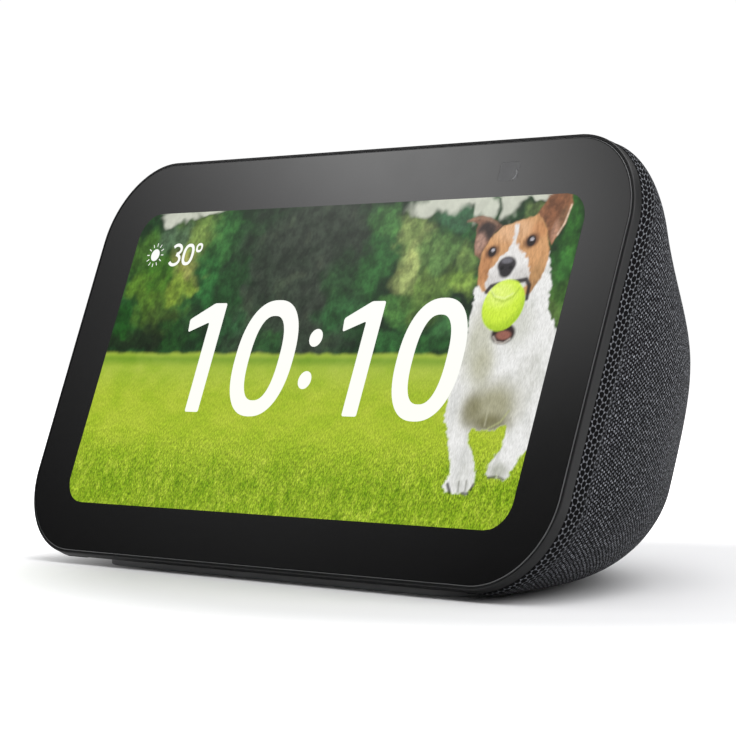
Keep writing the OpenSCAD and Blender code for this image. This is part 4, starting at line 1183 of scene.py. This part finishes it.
def finish_inner_parts():
    """Gives each node that keeps its own shape a finish from its material slot."""
    finishes = {
        "foam": plain_finish("Black foam", (0.012, 0.012, 0.013), (0.03, 0.03, 0.032), 0.9, 0.1, 2600, 200),
        "bezel_plastic": bezel_finish(),
        "light_guide": plain_finish("White film", (0.72, 0.74, 0.75), (0.82, 0.83, 0.83), 0.35, 0.1),
        "sheet_metal": plain_finish("Stamped sheet", (0.42, 0.43, 0.45), (0.56, 0.57, 0.58), 0.36, 0.25,
                                    metallic=1.0, brushed=True),
        "screw_steel": plain_finish("Plated steel", (0.34, 0.35, 0.37), (0.52, 0.53, 0.55), 0.3, 0.2,
                                    metallic=1.0, brushed=True),
        "black_plastic": black_moulding(),
        "lens_glass": plain_finish("Coated lens", (0.01, 0.016, 0.05), (0.02, 0.03, 0.09), 0.06, 0.04, coat=1.0),
        "shutter_plastic": plain_finish("Grey shutter", (0.34, 0.35, 0.37), (0.42, 0.43, 0.45), 0.45, 0.1),
        "button_plastic": satin_button(),
        "circuit_board": plain_finish("Solder mask", (0.008, 0.05, 0.02), (0.014, 0.08, 0.035), 0.28, 0.15,
                                      1500, 400),
        "switch_body": plain_finish("Switch moulding", (0.5, 0.5, 0.46), (0.62, 0.62, 0.58), 0.4, 0.1),
        "microphone_can": plain_finish("Plated can", (0.52, 0.4, 0.16), (0.66, 0.52, 0.24), 0.3, 0.15,
                                       metallic=1.0, brushed=True),
        "gasket_rubber": plain_finish("Black rubber", (0.01, 0.01, 0.011), (0.018, 0.018, 0.02), 0.72, 0.15,
                                      2400),
        "aluminium_plate": plain_finish("Milled plate", (0.5, 0.51, 0.52), (0.66, 0.67, 0.68), 0.34, 0.2,
                                        metallic=1.0, brushed=True),
        "copper": plain_finish("Bare copper", (0.5, 0.22, 0.09), (0.66, 0.32, 0.15), 0.32, 0.2, metallic=1.0,
                               brushed=True),
        "flex_circuit": plain_finish("Amber film", (0.42, 0.2, 0.035), (0.56, 0.3, 0.07), 0.3, 0.1, 900),
        "wire_red": plain_finish("Red sleeve", (0.3, 0.025, 0.018), (0.4, 0.05, 0.035), 0.4, 0.1),
        "wire_black": plain_finish("Black sleeve", (0.011, 0.011, 0.012), (0.02, 0.02, 0.022), 0.42, 0.1),
        "basket_metal": plain_finish("Coated basket", (0.04, 0.043, 0.048), (0.06, 0.064, 0.07), 0.45, 0.2, 1800),
        "ferrite": plain_finish("Sintered magnet", (0.03, 0.03, 0.033), (0.06, 0.06, 0.063), 0.6, 0.2, 1200),
        "spider_cloth": plain_finish("Resin cloth", (0.42, 0.26, 0.07), (0.56, 0.37, 0.12), 0.7, 0.15, 1600),
        "cone_paper": plain_finish("Pressed pulp", (0.016, 0.016, 0.018), (0.034, 0.034, 0.037), 0.78, 0.15,
                                   1900),
        "foot_rubber": grey_rubber(),
        "black_glass": glass_finish(),
        "lcd": plain_finish("Panel edge", (0.03, 0.034, 0.04), (0.05, 0.055, 0.06), 0.3),
        "knit": plain_finish("Knit lining", (0.02, 0.021, 0.024), (0.045, 0.047, 0.053), 0.85, 0.1, 2200),
    }
    for part in frame["record"]["subparts"]:
        node = NODES[part["node"]]
        node.data.materials.clear()
        node.data.materials.append(finishes[part["material_slot"]])


def soft_light(name, place, target, size, power):
    bpy.ops.object.light_add(type="AREA", location=place)
    light = bpy.context.active_object
    light.name = name
    light.data.shape = "RECTANGLE"
    light.data.size, light.data.size_y = size
    light.data.energy = power
    light.rotation_euler = (Vector(target) - Vector(place)).to_track_quat("-Z", "Y").to_euler()
    light.visible_camera = False


def add_camera():
    look = bpy.context.scene.speaker_look
    turn, tilt = look.camera_turn, look.camera_tilt
    back = Vector((math.sin(turn) * math.cos(tilt), -math.cos(turn) * math.cos(tilt), math.sin(tilt)))
    right = Vector((math.cos(turn), math.sin(turn), 0))
    up = back.cross(right)
    centre = (FACE @ Vector((SCREEN_X, SCREEN_V, 0))) * MM
    place = centre + right * AIM_RIGHT - up * AIM_DOWN + back * look.camera_away
    bpy.ops.object.camera_add(location=place)
    camera = bpy.context.active_object
    camera.name = "camera"
    camera.matrix_world = Matrix.Translation(place) @ Matrix((right, up, back)).transposed().to_4x4()
    camera.data.lens = 136.8
    camera.data.sensor_width = 36
    camera.data.clip_start = 0.01
    bpy.context.scene.camera = camera
    return place


def add_glow_card(place):
    """A soft graded light that shows in the glass as a pale bloom along its top."""
    normal = (FACE.to_3x3() @ Vector((0, 0, 1))).normalized()
    on_face = (FACE @ Vector((0, 0, 0))) * MM
    mirrored = place - 2 * (place - on_face).dot(normal) * normal
    aim = (FACE @ Vector((6, 47, 0))) * MM
    ray = (aim - mirrored).normalized()
    centre = aim + ray * 0.42
    card = start("glow_card", bpy.ops.mesh.primitive_plane_add, size=0.9)
    side = ray.cross(Vector((0, 0, 1))).normalized()
    rise = side.cross(ray)
    card.matrix_world = Matrix.Translation(centre) @ Matrix((side, rise, -ray)).transposed().to_4x4()
    card.visible_camera = False
    material = bpy.data.materials.new("Glow")
    material.use_nodes = True
    tree = material.node_tree
    tree.nodes.clear()
    spot = tree.nodes.new("ShaderNodeTexCoord").outputs["Object"]
    parts = tree.nodes.new("ShaderNodeSeparateXYZ")
    tree.links.new(spot, parts.inputs[0])
    glow = 0.0
    for wide, high, level in ((0.058, 0.032, 2.25), (0.062, 0.085, 1.05)):
        square = calc(tree, "ADD", calc(tree, "POWER", calc(tree, "DIVIDE", parts.outputs[0], wide), 2.0),
                      calc(tree, "POWER", calc(tree, "DIVIDE", parts.outputs[1], high), 2.0))
        bell = calc(tree, "POWER", 2.718, calc(tree, "MULTIPLY", square, -0.5))
        glow = calc(tree, "MULTIPLY_ADD", bell, level, glow)
    light = tree.nodes.new("ShaderNodeEmission")
    tree.links.new(glow, light.inputs["Strength"])
    output = tree.nodes.new("ShaderNodeOutputMaterial")
    tree.links.new(light.outputs[0], output.inputs["Surface"])
    card.data.materials.append(material)


def build_stage():
    scene = bpy.context.scene
    add_glow_card(add_camera())
    floor = start("floor", bpy.ops.mesh.primitive_circle_add, vertices=96, radius=4, fill_type="NGON")
    material, tree, shader = new_finish("Pale floor")
    spot = tree.nodes.new("ShaderNodeTexCoord").outputs["Object"]
    away = tree.nodes.new("ShaderNodeVectorMath")
    away.operation = "LENGTH"
    centred = tree.nodes.new("ShaderNodeVectorMath")
    centred.operation = "SUBTRACT"
    centred.inputs[1].default_value = (0.035, 0.005, 0)
    tree.links.new(spot, centred.inputs[0])
    tree.links.new(centred.outputs[0], away.inputs[0])
    fade = ramp_between(tree, away.outputs["Value"], 0.08, 0.15)
    shader.inputs["Base Color"].default_value = (0.82, 0.82, 0.83, 1)
    shader.inputs["Roughness"].default_value = 0.9
    shader.inputs["Specular IOR Level"].default_value = 0.0
    shader.inputs["Emission Color"].default_value = (1, 1, 1, 1)
    tree.links.new(fade, shader.inputs["Emission Strength"])
    floor.data.materials.append(material)
    soft_light("overhead", (0.1, 0.1, 0.75), (0, 0, 0), (1.1, 1.1), 9.0)
    soft_light("side", (0.75, 0.25, 0.4), (0.03, 0, 0.04), (0.5, 0.5), 3.0)
    soft_light("front", (0.35, -0.75, 0.25), (0, 0, 0.04), (0.5, 0.3), 0.6)
    world = bpy.data.worlds.new("studio")
    world.use_nodes = True
    tree = world.node_tree
    tree.nodes.clear()
    seen = tree.nodes.new("ShaderNodeLightPath").outputs["Is Camera Ray"]
    sky = tree.nodes.new("ShaderNodeBackground")
    sky.inputs["Color"].default_value = (1, 1, 1, 1)
    tree.links.new(calc(tree, "MULTIPLY_ADD", seen, 0.86, 0.16), sky.inputs["Strength"])
    output = tree.nodes.new("ShaderNodeOutputWorld")
    tree.links.new(sky.outputs[0], output.inputs["Surface"])
    scene.world = world
    scene.view_settings.view_transform = "Standard"


# ---- The add-on ----

class SpeakerLook(bpy.types.PropertyGroup):
    """Sizes and colours that a user would change."""
    open_pitch: bpy.props.FloatProperty(name="Open knit pitch", description="Width of a cell beside the bezel",
                                        default=0.00128, unit="LENGTH")
    knit_pitch: bpy.props.FloatProperty(name="Knit pitch", description="Width of a cell of the cover",
                                        default=0.00082, unit="LENGTH")
    yarn: bpy.props.FloatVectorProperty(name="Yarn", description="Main colour of the yarn", size=3,
                                        subtype="COLOR", default=(0.03, 0.032, 0.039))
    yarn_light: bpy.props.FloatVectorProperty(name="Light yarn", description="Colour of its light fibres", size=3,
                                              subtype="COLOR", default=(0.3, 0.31, 0.34))
    yarn_edge: bpy.props.FloatVectorProperty(name="Edge yarn", description="Colour of the open net's yarn", size=3,
                                             subtype="COLOR", default=(0.24, 0.25, 0.27))
    # Painted shade: a near black that stands in for the shaded inside seen between the yarns.
    hole: bpy.props.FloatVectorProperty(name="Hole", description="Colour seen between the yarns", size=3,
                                        subtype="COLOR", default=(0.0006, 0.0006, 0.001))
    camera_turn: bpy.props.FloatProperty(name="Camera turn", description="Camera's angle round the speaker",
                                         default=math.radians(46.9), subtype="ANGLE")
    camera_tilt: bpy.props.FloatProperty(name="Camera height", description="Camera's angle above the level",
                                         default=math.radians(0.62), subtype="ANGLE")
    camera_away: bpy.props.FloatProperty(name="Camera distance", description="From the display's centre",
                                         default=0.53, unit="LENGTH")


def make_operator(idname, label, note, action):
    """One operator that runs one building step."""
    def execute(self, context):
        action()
        return {"FINISHED"}
    return type("SPEAKER_OT_" + idname, (bpy.types.Operator,),
                {"bl_idname": "speaker." + idname, "bl_label": label, "__doc__": note, "execute": execute})


STEPS = [
    make_operator("inner_parts", "Finish inner parts", "Finishes the parts that keep their own shape",
                  finish_inner_parts),
    make_operator("glass", "Build glass", "Builds the cover glass with its rounded edge", build_glass),
    make_operator("picture", "Build picture", "Paints the lit picture", build_picture),
    make_operator("clock", "Build clock", "Builds the lit clock and weather marks", build_clock),
    make_operator("window", "Build camera window", "Builds the clear window before the camera", build_window),
    make_operator("controls", "Build strip", "Builds the strip that carries the controls", build_strip),
    make_operator("buttons", "Build buttons", "Builds the three dished buttons with their marks", build_buttons),
    make_operator("knob", "Build shutter knob", "Builds the ridged knob of the shutter", build_knob),
    make_operator("foot", "Build foot", "Builds the rubber foot", build_foot),
    make_operator("inlet", "Build inlet", "Builds the surround of the power inlet", build_inlet),
    make_operator("bezel", "Build bezel", "Builds the stepped ring round the glass", build_bezel),
    make_operator("knit", "Build knit cover", "Builds the stretched knitted cover", build_knit),
    make_operator("stage", "Build stage", "Adds the camera, floor and lights", build_stage),
]


class SPEAKER_PT_panel(bpy.types.Panel):
    """Lists the building steps and the look's settings."""
    bl_idname = "SPEAKER_PT_panel"
    bl_label = "Speaker"
    bl_space_type = "VIEW_3D"
    bl_region_type = "UI"
    bl_category = "Speaker"

    def draw(self, context):
        for step in STEPS:
            self.layout.operator(step.bl_idname)
        for name in SpeakerLook.__annotations__:
            self.layout.prop(context.scene.speaker_look, name)


CLASSES = [SpeakerLook] + STEPS + [SPEAKER_PT_panel]


def register():
    for item in CLASSES:
        bpy.utils.register_class(item)
    bpy.types.Scene.speaker_look = bpy.props.PointerProperty(type=SpeakerLook)


def unregister():
    del bpy.types.Scene.speaker_look
    for item in reversed(CLASSES):
        bpy.utils.unregister_class(item)


def main():
    register()
    for step in STEPS:
        group, name = step.bl_idname.split(".")
        getattr(getattr(bpy.ops, group), name)()


if __name__ == "__main__":
    main()
